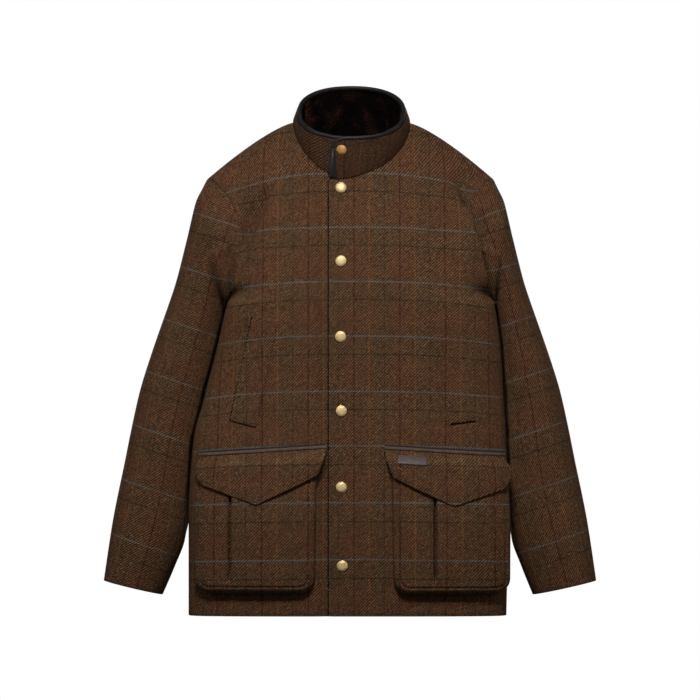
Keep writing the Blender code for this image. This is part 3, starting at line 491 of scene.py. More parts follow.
def ramp(tree, value, stops):
    node = addNode(tree, "ShaderNodeValToRGB", {0: value})
    while len(node.color_ramp.elements) < len(stops):
        node.color_ramp.elements.new(0.5)
    for element, (place, shade) in zip(node.color_ramp.elements, stops):
        element.position = place
        element.color = shade
    return node.outputs["Color"]


def noise(tree, place, scale, detail=2.0):
    node = addNode(tree, "ShaderNodeTexNoise", {"Vector": place, "Scale": scale, "Detail": detail})
    return node.outputs["Fac"]


def bumped(tree, shader, height, strength, depth):
    bump = addNode(tree, "ShaderNodeBump", {"Strength": strength, "Distance": depth, "Height": height})
    tree.links.new(bump.outputs[0], shader.inputs["Normal"])


def nodeGroup(name, inputs, outputs):
    group = bpy.data.node_groups.new(name, "ShaderNodeTree")
    for title, kind, value in inputs:
        socket = group.interface.new_socket(name=title, in_out="INPUT", socket_type=kind)
        if value is not None:
            socket.default_value = value
    for title, kind in outputs:
        group.interface.new_socket(name=title, in_out="OUTPUT", socket_type=kind)
    return group, group.nodes.new("NodeGroupInput"), group.nodes.new("NodeGroupOutput")


def newMaterial(name, rough, **constants):
    material = bpy.data.materials.new(name)
    material.use_nodes = True
    shader = material.node_tree.nodes["Principled BSDF"]
    shader.inputs["Roughness"].default_value = rough
    for title, value in constants.items():
        shader.inputs[title.replace("_", " ")].default_value = value
    return material, material.node_tree, shader


tweed = {
    "hatch": 0.0048,  # twill lines, counted across
    "yarnWide": 0.0018,
    "yarnLong": 0.0026,
    "lineWidth": 0.0012,
    "wanderScale": 70.0,  # slow drift of the twill, and the lines' breaks
    "fuzzScale": 900.0,
    "umber": colour(54, 36, 25),
    "peat": colour(70, 48, 32),
    "brown": colour(86, 60, 40),
    "tan": colour(100, 72, 48),
    "rust": colour(116, 66, 42),
    "olive": colour(90, 78, 52),
    "straw": colour(124, 98, 68),
    "red": colour(50, 16, 11),
    "gold": colour(150, 94, 38),
    "dark": colour(40, 26, 18),
    "blue": colour(96, 106, 106),
    "moss": colour(30, 28, 20),
}


def tweedGroup():
    group, given, made = nodeGroup(
        "tweedWeave",
        [("Chart", "NodeSocketVector", None), ("Shade", "NodeSocketFloat", 1.0)],
        [("Colour", "NodeSocketColor"), ("Height", "NodeSocketFloat"), ("Rough", "NodeSocketFloat")],
    )
    parts = addNode(group, "ShaderNodeSeparateXYZ", {0: given.outputs["Chart"]})
    checkX, checkY = parts.outputs[0], parts.outputs[1]
    across = calc(group, "MULTIPLY", checkX, check["width"])
    down = calc(group, "MULTIPLY", checkY, check["height"])
    metres = addNode(group, "ShaderNodeCombineXYZ", {0: across, 1: down}).outputs[0]
    wander = noise(group, metres, tweed["wanderScale"])
    slant = calc(group, "ADD", across, down)
    along = calc(group, "SUBTRACT", across, down)
    phase = calc(group, "DIVIDE", slant, tweed["hatch"])
    phase = calc(group, "MULTIPLY_ADD", wander, 0.22, phase)
    wave = calc(group, "SINE", calc(group, "MULTIPLY", phase, 2 * math.pi))
    hatch = calc(group, "MULTIPLY_ADD", wave, 0.5, 0.5)
    yarnPlace = addNode(group, "ShaderNodeCombineXYZ", {
        0: calc(group, "DIVIDE", slant, tweed["yarnWide"]),
        1: calc(group, "DIVIDE", along, tweed["yarnLong"]),
    }).outputs[0]
    yarn = addNode(
        group, "ShaderNodeTexVoronoi", {"Vector": yarnPlace, "Scale": 1.0}, voronoi_dimensions="2D"
    )
    pick = addNode(group, "ShaderNodeSeparateColor", {0: yarn.outputs["Color"]})
    ground = ramp(group, pick.outputs[0], [
        (0.00, tweed["umber"]), (0.22, tweed["peat"]), (0.50, tweed["brown"]), (0.70, tweed["tan"]),
        (0.82, tweed["rust"]), (0.91, tweed["olive"]), (1.00, tweed["straw"]),
    ])
    warm = calc(group, "COSINE", calc(group, "MULTIPLY", calc(group, "SUBTRACT", checkX, 0.04), 2 * math.pi))
    weft = calc(group, "COSINE", calc(group, "MULTIPLY", calc(group, "SUBTRACT", checkY, 0.72), 2 * math.pi))
    redness = calc(group, "MULTIPLY_ADD", calc(group, "ADD", warm, weft), 0.07, 0.09)
    ground = mixColours(group, redness, ground, colour(104, 58, 38))
    greenness = calc(group, "MULTIPLY_ADD", calc(group, "ADD", warm, weft), -0.05, 0.06)
    ground = mixColours(group, greenness, ground, colour(74, 68, 44))

    faint = addNode(group, "ShaderNodeMapRange", {0: wander, 1: 0.38, 2: 0.56, 3: 0.45, 4: 1.0}).outputs[0]

    def line(place, at, width, strength, jitter):
        off = calc(group, "ABSOLUTE", calc(group, "WRAP", calc(group, "SUBTRACT", place, at), 0.5, -0.5))
        edge = addNode(group, "ShaderNodeMapRange", {0: off, 1: width * 0.35, 2: width, 3: strength, 4: 0.0})
        broken = calc(group, "MULTIPLY_ADD", hatch, jitter, 1.0 - jitter)
        return calc(group, "MULTIPLY", calc(group, "MULTIPLY", edge.outputs[0], broken), faint)

    wide, tall = tweed["lineWidth"] / check["width"], tweed["lineWidth"] / check["height"]
    for place, at, width, strength, jitter, shade in (
        (checkX, 0.0, wide * 1.2, 0.90, 0.3, "red"),
        (checkX, 0.33, wide * 1.2, 0.55, 0.9, "gold"),
        (checkX, 0.66, wide, 0.60, 0.4, "dark"),
        (checkY, 2 / 3, tall, 0.40, 0.6, "rust"),
        (checkY, 1 / 3, tall * 1.2, 0.80, 0.4, "moss"),
        (checkY, 0.0, tall * 1.3, 0.90, 0.55, "blue"),
    ):
        ground = mixColours(group, line(place, at, width, strength, jitter), ground, tweed[shade])
    fuzz = noise(group, metres, tweed["fuzzScale"])
    light = calc(group, "MULTIPLY_ADD", hatch, 1.16, 0.38)
    light = calc(group, "MULTIPLY", light, calc(group, "MULTIPLY_ADD", fuzz, 0.7, 0.65))
    # Shade darkens the whole colour: painted shade where a piece lies in shadow
    light = calc(group, "MULTIPLY", light, given.outputs["Shade"])
    lit = addNode(group, "ShaderNodeVectorMath", {0: ground, "Scale": light}, operation="SCALE").outputs[0]
    group.links.new(lit, made.inputs["Colour"])
    height = calc(group, "MULTIPLY_ADD", hatch, 0.6, calc(group, "MULTIPLY", fuzz, 0.6))
    group.links.new(height, made.inputs["Height"])
    group.links.new(calc(group, "MULTIPLY_ADD", fuzz, 0.2, 0.78), made.inputs["Rough"])
    return group


tweedWeave = tweedGroup()


def tweedMaterial(name, shade=1.0):
    material, tree, shader = newMaterial(
        name, 0.9, Sheen_Weight=0.06, Sheen_Roughness=0.55, Sheen_Tint=colour(150, 120, 90),
        Specular_IOR_Level=0.15,
    )
    place = addNode(tree, "ShaderNodeUVMap", uv_map="chart")
    weave = addNode(tree, "ShaderNodeGroup", node_tree=tweedWeave)
    weave.inputs["Shade"].default_value = shade
    tree.links.new(place.outputs[0], weave.inputs["Chart"])
    tree.links.new(weave.outputs["Colour"], shader.inputs["Base Color"])
    tree.links.new(weave.outputs["Rough"], shader.inputs["Roughness"])
    bumped(tree, shader, weave.outputs["Height"], 0.6, 0.0007)
    return material


def grainGroup():  # fine irregular grain for leather and metal, from Object coordinates
    group, given, made = nodeGroup(
        "fineGrain",
        [("Place", "NodeSocketVector", None), ("Size", "NodeSocketFloat", 0.001)],
        [("Mottle", "NodeSocketFloat"), ("Height", "NodeSocketFloat")],
    )
    scale = calc(group, "DIVIDE", 1.0, given.outputs["Size"])
    cells = addNode(group, "ShaderNodeTexVoronoi", {"Vector": given.outputs["Place"], "Scale": scale},
                    feature="SMOOTH_F1")
    mottle = noise(group, given.outputs["Place"], calc(group, "MULTIPLY", scale, 0.12), 5.0)
    group.links.new(mottle, made.inputs["Mottle"])
    height = calc(group, "MULTIPLY_ADD", cells.outputs["Distance"], -1.0, mottle)
    group.links.new(height, made.inputs["Height"])
    return group


fineGrain = grainGroup()


def grainMaterial(name, dark, pale, size, rough, depth, reach=(0.3, 0.72), **constants):
    material, tree, shader = newMaterial(name, rough, **constants)
    place = addNode(tree, "ShaderNodeTexCoord")
    grain = addNode(tree, "ShaderNodeGroup", node_tree=fineGrain)
    grain.inputs["Size"].default_value = size
    tree.links.new(place.outputs["Object"], grain.inputs["Place"])
    shade = ramp(tree, grain.outputs["Mottle"], [(reach[0], dark), (reach[1], pale)])
    tree.links.new(shade, shader.inputs["Base Color"])
    roughness = addNode(tree, "ShaderNodeMapRange", {
        0: grain.outputs["Mottle"], 1: 0.2, 2: 0.8, 3: rough - 0.08, 4: rough + 0.08,
    })
    tree.links.new(roughness.outputs[0], shader.inputs["Roughness"])
    bumped(tree, shader, grain.outputs["Height"], 0.5, depth)
    return material


tweedCloth = tweedMaterial("tweed_cloth")
# the collar's cloth is darkened to 0.58 of the tweed: painted shade, as the collar leans away from the light
collarPaintedShadeTweed = tweedMaterial("collar_tweed_painted_shade", 0.58)
bindingLeather = grainMaterial("binding_leather", colour(22, 17, 17), colour(42, 34, 34), 0.0016, 0.5, 0.0003,
                               Specular_IOR_Level=0.3)
labelLeather = grainMaterial("label_leather", colour(66, 52, 52), colour(92, 76, 76), 0.0014, 0.55, 0.0003)
brassMetal = grainMaterial("brass_metal", colour(244, 208, 146), colour(252, 223, 166), 0.0030, 0.5, 0.00008,
                           Metallic=0.35)
# darker brass for the collar's snap: painted shade, as on the collar's cloth
collarBrassPaintedShade = grainMaterial("collar_brass_painted_shade", colour(176, 130, 70), colour(202, 154, 88), 0.0030, 0.5, 0.00008,
                          Metallic=0.4)
wovenTrim = grainMaterial("woven_trim", colour(80, 65, 52), colour(112, 94, 77), 0.0011, 0.85, 0.0006)


def darkenTrim():  # the band goes near black along its upper edge, black piping together with painted shadow, and its lower edge gets painted shade
    tree = wovenTrim.node_tree
    shader = tree.nodes["Principled BSDF"]
    band = shader.inputs["Base Color"].links[0].from_socket
    place = addNode(tree, "ShaderNodeUVMap", uv_map="chart")
    down = addNode(tree, "ShaderNodeSeparateXYZ", {0: place.outputs[0]}).outputs[1]
    full, none, most = (1, 1, 1, 1), (0, 0, 0, 1), (0.8, 0.8, 0.8, 1)
    edge = ramp(tree, down, [(0.30, full), (0.36, none), (0.88, none), (0.95, most)])
    # near black mixed in at both edges: painted shadow at the top, painted shade at the foot
    mixed = mixColours(tree, edge, band, colour(17, 13, 13))
    tree.links.new(mixed, shader.inputs["Base Color"])


darkenTrim()
sewingThread = grainMaterial("sewing_thread", colour(40, 29, 21), colour(66, 48, 33), 0.0008, 0.8, 0.0002)
plushGround = grainMaterial("plush_ground", colour(10, 5, 5), colour(24, 13, 11), 0.0030, 0.95, 0.0010,
                            Specular_IOR_Level=0.1)
plushPile = grainMaterial("plush_pile", colour(5, 2, 2), colour(150, 90, 76), 0.0030, 0.9, 0.0002,
                          reach=(0.48, 0.66), Specular_IOR_Level=0.1)
# near-black cloth for strips along the welts' openings and the fly's edge: mostly painted shadow
paintedShadowFacing = grainMaterial("facing_painted_shadow_cloth", colour(14, 10, 8), colour(24, 17, 14), 0.0012, 0.95, 0.0004,
                            Specular_IOR_Level=0.1)
print("materials ready")

# The body's panels
panels = {(face, side): panelGrid(face, side) for face in ("front", "back") for side in (1, -1)}


def stationRow(face, row):
    stations = panels[face, 1][2]
    return int(np.argmin(np.abs(stations - row)))


armRow = {face: stationRow(face, underarm) for face in ("front", "back")}
neckRow = {face: stationRow(face, neckCorner[face]) for face in ("front", "back")}


def drawBack(grid, edge, inside):
    grid[edge] += unit(grid[inside] - grid[edge]) * cloth["seamGap"] / 2


def seamPress(z):
    low, high = cloth["deepSeam"]
    lowFade, highFade = cloth["deepFade"]
    return 1 - ease((z - low) / lowFade) * ease((high - z) / highFade)


def sewnPanel(face, side):  # a panel with its sewn edges pressed and drawn back
    grid = panels[face, side][0].copy()
    press = np.zeros(grid.shape[:2])
    drawBack(grid, np.s_[-1, :], np.s_[-2, :])
    drawBack(grid, np.s_[:, -1], np.s_[:, -2])
    neck = np.s_[neckRow[face] :, 0]
    drawBack(grid, neck, np.s_[neckRow[face] :, 1])
    press[-1, :] = press[:, -1] = press[neck] = 1.0
    if face == "front":
        press[:, -1] = seamPress(grid[:, -1, 2])
    return grid, press


for side, name in ((1, "front_left"), (-1, "front_right")):
    grid, press = sewnPanel("front", side)
    sheet = (grid, panels["front", side][1], side < 0)
    piece = clothShell(f"{name}_cloth", [sheet], tweedCloth, seams=[press])
    finishCloth(piece, name)

halves = {side: sewnPanel("back", side) for side in (1, -1)}
backPiece = clothShell(
    "back_cloth",
    [(halves[side][0], panels["back", side][1], side > 0) for side in (1, -1)],
    tweedCloth,
    seams=[halves[side][1] for side in (1, -1)],
)
finishCloth(backPiece, "back")
print("body panels sewn")

sleeve = {
    "clearance": 0.004,
    "ringSpacing": 0.0055,
    "bulge": 0.006,
    "cuffStitch": 0.013,
    "headFoot": -0.190,
    "valley": {1: (0.015, 0.75, 2.75), -1: (0.011, 1.35, 2.75)},  # depth beside the front roll, and its turns
    "valleyRows": (4.0, 2.6),
}
# Rings by the ends of their long axis from the front; the inner end is counted from the body's widest line
# and lies further back than the outer one by the last value
ringFields = ("outerX", "outerZ", "innerGap", "innerZ", "halfDepth", "middleY", "innerBack")
sleeveRings = {
    "crown": (0.2455, -0.126, -0.002, -0.300, 0.071, 0.008, 0.022),
    "cap": (0.2615, -0.190, -0.007, -0.318, 0.072, 0.014, 0.030),
    "upper": (0.2790, -0.258, -0.010, -0.342, 0.073, 0.022, 0.022),
    "biceps": (0.3020, -0.325, -0.014, -0.378, 0.072, 0.028, 0.012),
    "elbow": (0.3370, -0.432, -0.016, -0.470, 0.070, 0.032, 0.004),
    "forearm": (0.3620, -0.550, -0.012, -0.582, 0.065, 0.026, 0.0),
    "wrist": (0.3800, -0.640, 0.006, -0.668, 0.058, 0.014, 0.0),
    "cuff": (0.3940, -0.7345, 0.0415, -0.7570, 0.049, 0.004, 0.0),
}
# Soft creases on a sleeve: side, height, turn round the arm, reach round it, half-width, depth, slope
sleeveCreases = (
    (1, -0.330, 1.5, 0.9, 0.016, 0.0028, 0.020),
    (1, -0.440, 2.3, 1.0, 0.018, 0.0040, 0.030),
    (1, -0.500, 2.6, 0.9, 0.015, 0.0034, -0.020),
    (1, -0.560, 1.9, 0.8, 0.018, 0.0022, 0.026),
    (1, -0.470, 4.2, 1.1, 0.020, 0.0042, -0.030),
    (1, -0.600, 4.6, 0.9, 0.018, 0.0030, 0.020),
    (1, -0.300, 5.0, 0.8, 0.018, 0.0030, 0.030),
    (-1, -0.350, 1.7, 0.9, 0.016, 0.0028, 0.018),
    (-1, -0.430, 2.4, 0.9, 0.018, 0.0038, 0.026),
    (-1, -0.515, 2.5, 1.0, 0.016, 0.0034, -0.024),
    (-1, -0.590, 1.8, 0.8, 0.018, 0.0022, 0.022),
    (-1, -0.450, 4.3, 1.0, 0.020, 0.0040, -0.026),
    (-1, -0.580, 4.5, 1.0, 0.018, 0.0032, 0.024),
    (-1, -0.290, 4.9, 0.8, 0.018, 0.0030, 0.028),
)


def bodyWidth(side, y, z):  # how far the body reaches out below the armhole
    found = np.zeros(np.shape(y))
    at = np.linspace(0.0, underarm, 101)
    for rows, there in ((frontRows, y < 0), (backRows, y >= 0)):
        row = rowsAt(rows, np.interp(z, rowsAt(rows, at)["innerZ"], at).ravel())
        share = np.minimum(np.abs(y / row["depth"]), 1.0)
        width = row["left"] if side > 0 else row["right"]
        found = np.where(there, width * (1 - share ** row["square"]) ** (1 / row["square"]), found)
    return found


def armholeLoop(side):  # from the shoulder tip down the front to the underarm and up the back
    front, back = panels["front", side][0], panels["back", side][0]
    return np.concatenate([front[armRow["front"] :, -1][::-1], back[armRow["back"] + 1 : -1, -1]])


def sleeveGrid(side):
    loop = armholeLoop(side)
    steps = np.linalg.norm(np.diff(loop, axis=0, append=loop[:1]), axis=1)
    length = np.concatenate([[0.0], np.cumsum(steps)])
    foot = int(np.argmin(loop[:, 2]))
    turn = np.where(
        np.arange(len(loop)) <= foot,
        math.pi * length[:-1] / length[foot],
        math.pi + math.pi * (length[:-1] - length[foot]) / (length[-1] - length[foot]),
    )
    rings = [loop]
    rowCount = len(sleeveRings) - 1
    for at in [0.0, 1.0] + list(np.arange(2.0, rowCount + 0.01, 0.5)):
        ring = dict(zip(ringFields, smoothColumns(list(sleeveRings.values()), np.array([at]))[0]))
        innerX = bodyWidth(side, np.zeros(1), np.array([ring["innerZ"]]))[0] + ring["innerGap"]
        middle = np.array([ring["outerX"] + innerX, 2 * ring["middleY"], ring["outerZ"] + ring["innerZ"]]) / 2
        arm = np.array([ring["outerX"] - innerX, 0.0, ring["outerZ"] - ring["innerZ"]]) / 2
        points = middle + np.cos(turn)[:, None] * arm
        innerFront = (turn > math.pi / 2) & (turn < math.pi)
        fuller = 1 - 0.65 * max(0.0, 1 - at)  # next to the armhole the sleeve stays full up to the body
        depth = np.where(innerFront, np.maximum(np.sin(turn), 0.0) ** fuller, np.sin(turn))
        back = ((1 - np.cos(turn)) / 2) ** np.where(innerFront, 1 + 2 * max(0.0, 1 - at), 1.0)
        points[:, 1] += ring["innerBack"] * back - depth * ring["halfDepth"]
        clear = bodyWidth(side, points[:, 1], points[:, 2]) + sleeve["clearance"]
        low = points[:, 2] < frontRows["underarm"][0]
        points[:, 0] = np.where(low, np.maximum(points[:, 0], clear), points[:, 0])
        points[:, 0] *= side
        rings.append(points)
    bridge = (rings[0] + rings[1]) / 2
    bridge += unit(bridge - bridge.mean(axis=0)) * (sleeve["bulge"] * np.abs(np.sin(turn)))[:, None]
    rings.insert(1, bridge)
    rings = np.array(rings)
    gaps = np.linalg.norm(np.diff(rings, axis=0), axis=2).mean(axis=1)
    counts = np.maximum(2, np.ceil(gaps / sleeve["ringSpacing"])).astype(int)
    at = np.concatenate([k + np.arange(n) / n for k, n in enumerate(counts)] + [[len(counts)]])
    grid = smoothColumns(rings, at)
    back = int(np.argmin(np.abs(turn - 1.5 * math.pi)))  # the sleeve's seam runs down its back
    grid = np.roll(grid, -back, axis=1)
    turn = np.roll(turn, -back)
    grid = np.concatenate([grid, grid[:, :1]], axis=1)
    turn = np.append(turn, turn[0])
    return grid, turn


def sleevePiece(side, name):
    grid, turn = sleeveGrid(side)
    down = np.array([side * check["sleeveDown"][0], 0.0, check["sleeveDown"][1]])
    steps = np.diff(grid, axis=1)
    steps -= np.sum(steps * down, axis=2, keepdims=True) * down
    around = np.linalg.norm(steps, axis=2)
    arcs = np.concatenate([np.zeros((len(grid), 1)), np.cumsum(around, axis=1)], axis=1)
    arcs -= arcs[:, [int(np.argmin(np.abs(turn - math.pi / 2)))]]
    across = np.array([side * -check["sleeveDown"][1], 0.0, check["sleeveDown"][0]])
    flat = np.stack([grid @ across, grid[:, :, 1]], axis=2)
    head = int(np.argmax(grid[:, int(np.argmin(turn)), 2] < sleeve["headFoot"]))
    fine = np.linspace(0, grid.shape[1] - 1, 1200)
    spots = np.arange(grid.shape[1])
    outline = np.stack([np.interp(fine, spots, flat[head, :, k]) for k in range(2)], axis=1)
    outlineArcs = np.interp(fine, spots, arcs[head])
    runs = {}
    for face, half in (("front", turn <= math.pi), ("back", turn >= math.pi)):
        order = np.flatnonzero(half)
        order = order[np.argsort(turn[order])]
        step = np.diff(flat[head, order, 0])
        run = np.hypot(step, np.diff(flat[head, order, 1]))
        run = np.concatenate([[0.0], np.cumsum(np.minimum(run, 1.4 * np.abs(step)))])
        middle = int(np.argmin(np.abs(turn[order] - (0.5 if face == "front" else 1.5) * math.pi)))
        sign = np.sign(arcs[head, order[-2]] - arcs[head, order[1]])
        run = arcs[head, order[middle]] + sign * (run - run[middle])
        runs[face] = flat[head, order, 0][::-1], run[::-1]
    for row in range(head):  # next to the armhole the cloth's run is taken from the ring below
        away = np.linalg.norm(flat[row][:, None, :] - outline[None, :, :], axis=2)
        near = outlineArcs[np.argmin(away, axis=1)]
        plain = np.where(turn <= math.pi, np.interp(flat[row, :, 0], *runs["front"]), near)
        arcs[row] = near + (plain - near) * ease((head - row) / 8.0)
    arcs[:head, 0], arcs[:head, -1] = arcs[head, 0], arcs[head, -1]
    places = sleeveChart(side, -arcs, grid[:, :, 0], grid[:, :, 2])
    middles = grid[:, :-1].mean(axis=1, keepdims=True)
    normals = gridNormals(grid, grid - middles)
    normals[:, -1] = normals[:, 0]
    sunk = np.zeros(grid.shape[:2])
    for creaseSide, height, at, reach, width, deep, slope in sleeveCreases:
        if creaseSide == side:
            bend = (turn - at) / reach
            line = height + slope * bend
            sunk += deep * np.exp(-(bend**2)) * np.exp(-(((grid[:, :, 2] - line) / width) ** 2))
    fade = ease(np.minimum(np.arange(len(grid)), np.arange(len(grid))[::-1]) / 12.0)
    inward = np.where(np.abs(grid[:, :, 0]) < np.abs(middles[:, :, 0]), 0.35, 1.0)
    sunk = sunk * fade[:, None] * inward
    rows = np.arange(len(grid))[:, None]
    deep, first, last = sleeve["valley"][side]
    middle, width = sleeve["valleyRows"]
    valley = np.exp(-(((rows - middle) / width) ** 2)) * ease(rows / 3.0)
    sunk += deep * valley * ease((turn - first) / 0.5) * ease((last - turn) / 0.4)
    sunk[:, -1] = sunk[:, 0]
    grid = grid - normals * sunk[:, :, None]
    drawBack(grid, np.s_[0, :], np.s_[1, :])
    press = np.zeros(grid.shape[:2])
    press[0] = np.where(turn <= math.pi, seamPress(grid[0, :, 2]), 1.0)
    piece = clothShell(f"{name}_cloth", [(grid, places, side < 0)], tweedCloth, seams=[press])
    finishCloth(piece, name)
    return grid, normals


sleeves = {side: sleevePiece(side, name) for side, name in ((1, "sleeve_left"), (-1, "sleeve_right"))}
print("sleeves set in")

collar = {
    "halfWidth": 0.087,
    "halfDepth": 0.067,
    "topMiddle": (0.0025, -0.004, 0.0165),
    "tilt": 0.0425,
    "square": 2.25,
    "corner": 0.021,
    "rows": 18,
    "columns": 200,
    "belly": 0.0016,
    "bindingWidth": 0.0075,
    "bindingStart": -0.004,
    "bindingFoot": 0.0004,
    "bindingOverLining": 0.0026,  # how much thicker it is where the collar is lined
    "bindingShoulder": (0.62, 0.30),  # its sides as a share of its width, and what the flat end adds
    "bindingSwell": 0.0012,
    "bindingRaise": 0.0022,  # the lap's edge stands this much higher
    "bindingLap": 0.0052,  # how far it laps over the collar's end
    "liningGap": 0.0014,
    "lining": 0.0016,
    "liningDeep": 0.042,
    "liningEnd": 0.20,  # it ends where the collar's ends overlap by this angle
    "blueLineAt": 0.92,
}


def resample(line, count, start=0.0, end=0.0):
    length = np.concatenate([[0.0], np.cumsum(np.linalg.norm(np.diff(line, axis=0), axis=1))])
    places = np.linspace(start, length[-1] - end, count)
    return np.stack([np.interp(places, length, line[:, axis]) for axis in range(3)], axis=1), places


def collarGrid():
    front, back = neckRow["front"], neckRow["back"]
    edge = np.concatenate([
        panels["front", -1][0][front:, 0], panels["back", -1][0][back:-1, 0][::-1],
        panels["back", 1][0][back + 1 :, 0], panels["front", 1][0][front:-1, 0][::-1],
    ])
    edge, places = resample(edge, collar["columns"], end=collar["bindingWidth"] - 0.0005)
    turn = np.unwrap(np.arctan2(edge[:, 0], -(edge[:, 1] - 0.010)))
    firstHalf = np.arange(len(edge)) < len(edge) // 2
    fall = np.where(firstHalf & (edge[:, 1] < 0.0), underStep(-edge[:, 0]), 0.0)
    away = np.stack([np.sin(turn), -np.cos(turn), np.zeros(len(turn))], axis=1)
    square = collar["square"]
    swell = (np.abs(np.sin(turn)) ** square + np.abs(np.cos(turn)) ** square) ** (-1 / square)
    across, ahead = swell * np.sin(turn), swell * np.cos(turn)
    top = np.array(collar["topMiddle"]) + np.stack(
        [collar["halfWidth"] * across, -collar["halfDepth"] * ahead, -collar["tilt"] * ahead], axis=1
    )
    top = top - away * fall[:, None] - np.array([0.0, 0.0, collar["bindingWidth"]])
    fromEnd = places[-1] - places
    lower = np.clip(collar["corner"] - fromEnd, 0.0, collar["corner"])
    top[:, 2] -= 0.8 * (collar["corner"] - np.sqrt(collar["corner"] ** 2 - lower**2))
    share = np.linspace(0.0, 1.0, collar["rows"] + 1)[:, None, None]
    grid = edge + (top - edge) * share + away * collar["belly"] * np.sin(share * math.pi)
    normals = gridNormals(grid, away[None, :, :])
    height = np.concatenate([
        np.zeros((1, grid.shape[1])), np.cumsum(np.linalg.norm(np.diff(grid, axis=0), axis=2), axis=0)
    ])
    chartPlaces = np.stack([
        np.broadcast_to((places[-1] / 2 - places) / check["width"], height.shape),
        collar["blueLineAt"] - height / check["height"],
    ], axis=-1)
    return grid, normals, turn, chartPlaces


collarPoints, collarNormals, collarTurn, collarChart = collarGrid()
collarSewn = collarPoints.copy()
drawBack(collarSewn, np.s_[0, :], np.s_[1, :])
collarPress = np.zeros(collarSewn.shape[:2])
collarPress[0] = 1.0
collarPiece = clothShell("collar_cloth", [(collarSewn, collarChart, False)], collarPaintedShadeTweed, seams=[collarPress])
finishCloth(collarPiece, "collar")


def liningGrid():
    last = int(np.argmax(collarTurn < collarTurn[0] - 2 * math.pi + collar["liningEnd"]))
    last = last if last > 0 else len(collarTurn) - 1
    inside = collarPoints[:, :last] - collarNormals[:, :last] * (cloth["thickness"] + collar["liningGap"])
    inside = inside[1:]
    turn = collarTurn[:last]
    toBack = ease((1 - np.cos(turn)) / 1.2)
    away = np.stack([np.sin(turn), -np.cos(turn), np.zeros(last)], axis=1)
    below = []
    for share in np.linspace(1.0, 0.1, 8):
        deep = (collar["liningDeep"] * toBack + 0.004) * share
        below.append(inside[0] + away * 0.20 * deep[:, None] - np.array([0.0, 0.0, 1.0]) * deep[:, None])
    grid = np.concatenate([np.array(below), inside])
    rise = np.linspace(0.0, 1.0, len(grid))[:, None]
    sway = np.zeros(grid.shape[:2])
    for at, width, deep, lean in (  # soft folds, mostly at the back
        (-2.05, 0.13, 0.0060, 0.30), (-2.50, 0.10, 0.0045, -0.25), (-2.95, 0.16, 0.0065, 0.20),
        (-3.45, 0.12, 0.0050, -0.30), (-3.85, 0.15, 0.0070, 0.35), (-4.35, 0.12, 0.0055, -0.20),
    ):
        around = turn[None, :] - turn[0] - at + lean * (rise - 0.5)
        sway += deep * np.exp(-((around / width) ** 2)) * np.sin(math.pi * np.clip(rise, 0.05, 0.97)) ** 0.6
    return grid - away[None, :, :] * sway[:, :, None], away


def liningPiece():
    grid, away = liningGrid()
    places = np.zeros((*grid.shape[:2], 2))
    piece = clothShell("collar_lining_plush", [(grid, places, False)], plushGround, collar["lining"])
    finishCloth(piece, "collar_lining")
    inner = grid - gridNormals(grid, away[None, :, :]) * collar["lining"]
    base = meshObject("pile_base", inner.reshape(-1, 3), gridFaces(inner.shape[:2], flip=True))
    return base


pileBase = liningPiece()


def sweepMesh(name, bases, outs, aways, sections, material):
    points = np.array([
        [base + out * a + away * b for a, b in section]
        for base, out, away, section in zip(bases, outs, aways, sections)
    ])
    rings, corners = points.shape[:2]
    faces = []
    for ring in range(rings - 1):
        for k in range(corners):
            after = (k + 1) % corners
            low, high = ring * corners, (ring + 1) * corners
            faces.append((low + k, low + after, high + after, high + k))
    faces.append(tuple(range(corners))[::-1])
    faces.append(tuple((rings - 1) * corners + k for k in range(corners)))
    piece = meshObject(name, points.reshape(-1, 3), faces, None, material)
    work = bmesh.new()
    work.from_mesh(piece.data)
    if work.calc_volume(signed=True) < 0:
        bmesh.ops.reverse_faces(work, faces=work.faces)
    work.to_mesh(piece.data)
    work.free()
    return piece


def bindingPiece():
    grid, normals = collarPoints, collarNormals
    start = int(np.argmax(grid[-1, :, 0] < collar["bindingStart"]))
    lined = collarTurn > collarTurn[0] - 2 * math.pi + collar["liningEnd"]
    columns = list(range(start, grid.shape[1]))
    downs = list(range(grid.shape[0] - 2, 0, -1))
    bases = np.array([grid[-1, c] for c in columns] + [grid[r, -1] for r in downs])
    outs = np.array([normals[-1, c] for c in columns] + [normals[r, -1] for r in downs])
    for _ in range(3):  # the corner is turned gently
        outs[1:-1] = unit(outs[:-2] + outs[1:-1] * 2 + outs[2:])
    tangents = unit(np.gradient(bases, axis=0))
    aways = unit(np.cross(tangents, outs))
    aways = aways if np.sum(aways[:, 2]) > 0 else -aways
    thick = cloth["thickness"] + collar["bindingSwell"]
    more = collar["bindingOverLining"]
    reach = np.array([thick + (more if lined[c] else 0.0) for c in columns] + [thick] * len(downs))
    for _ in range(4):
        reach[1:-1] = (reach[:-2] + 2 * reach[1:-1] + reach[2:]) / 4
    sections = []
    flatness = ease((np.arange(len(bases)) - len(columns) + 6) / 10.0)
    for r, flat in zip(reach, flatness):
        middle, half = (collar["bindingSwell"] - r) / 2, (collar["bindingSwell"] + r) / 2
        angles = np.linspace(0.0, math.pi, 9)
        tall = collar["bindingWidth"]
        shoulder = collar["bindingShoulder"][0] + collar["bindingShoulder"][1] * flat
        foot = collar["bindingFoot"]
        lapEdge = (middle + half + collar["bindingRaise"] * flat, foot - collar["bindingLap"] * flat)
        rounded = [
            (middle + half * math.cos(t), tall * (shoulder + (1 - shoulder) * math.sin(t))) for t in angles
        ]
        sections.append([lapEdge] + rounded + [(middle - half, foot)])
    piece = sweepMesh("collar_binding_leather", bases, outs, aways, sections, bindingLeather)
    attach(piece, "root")
    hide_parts("collar_binding")


bindingPiece()
print("collar made")

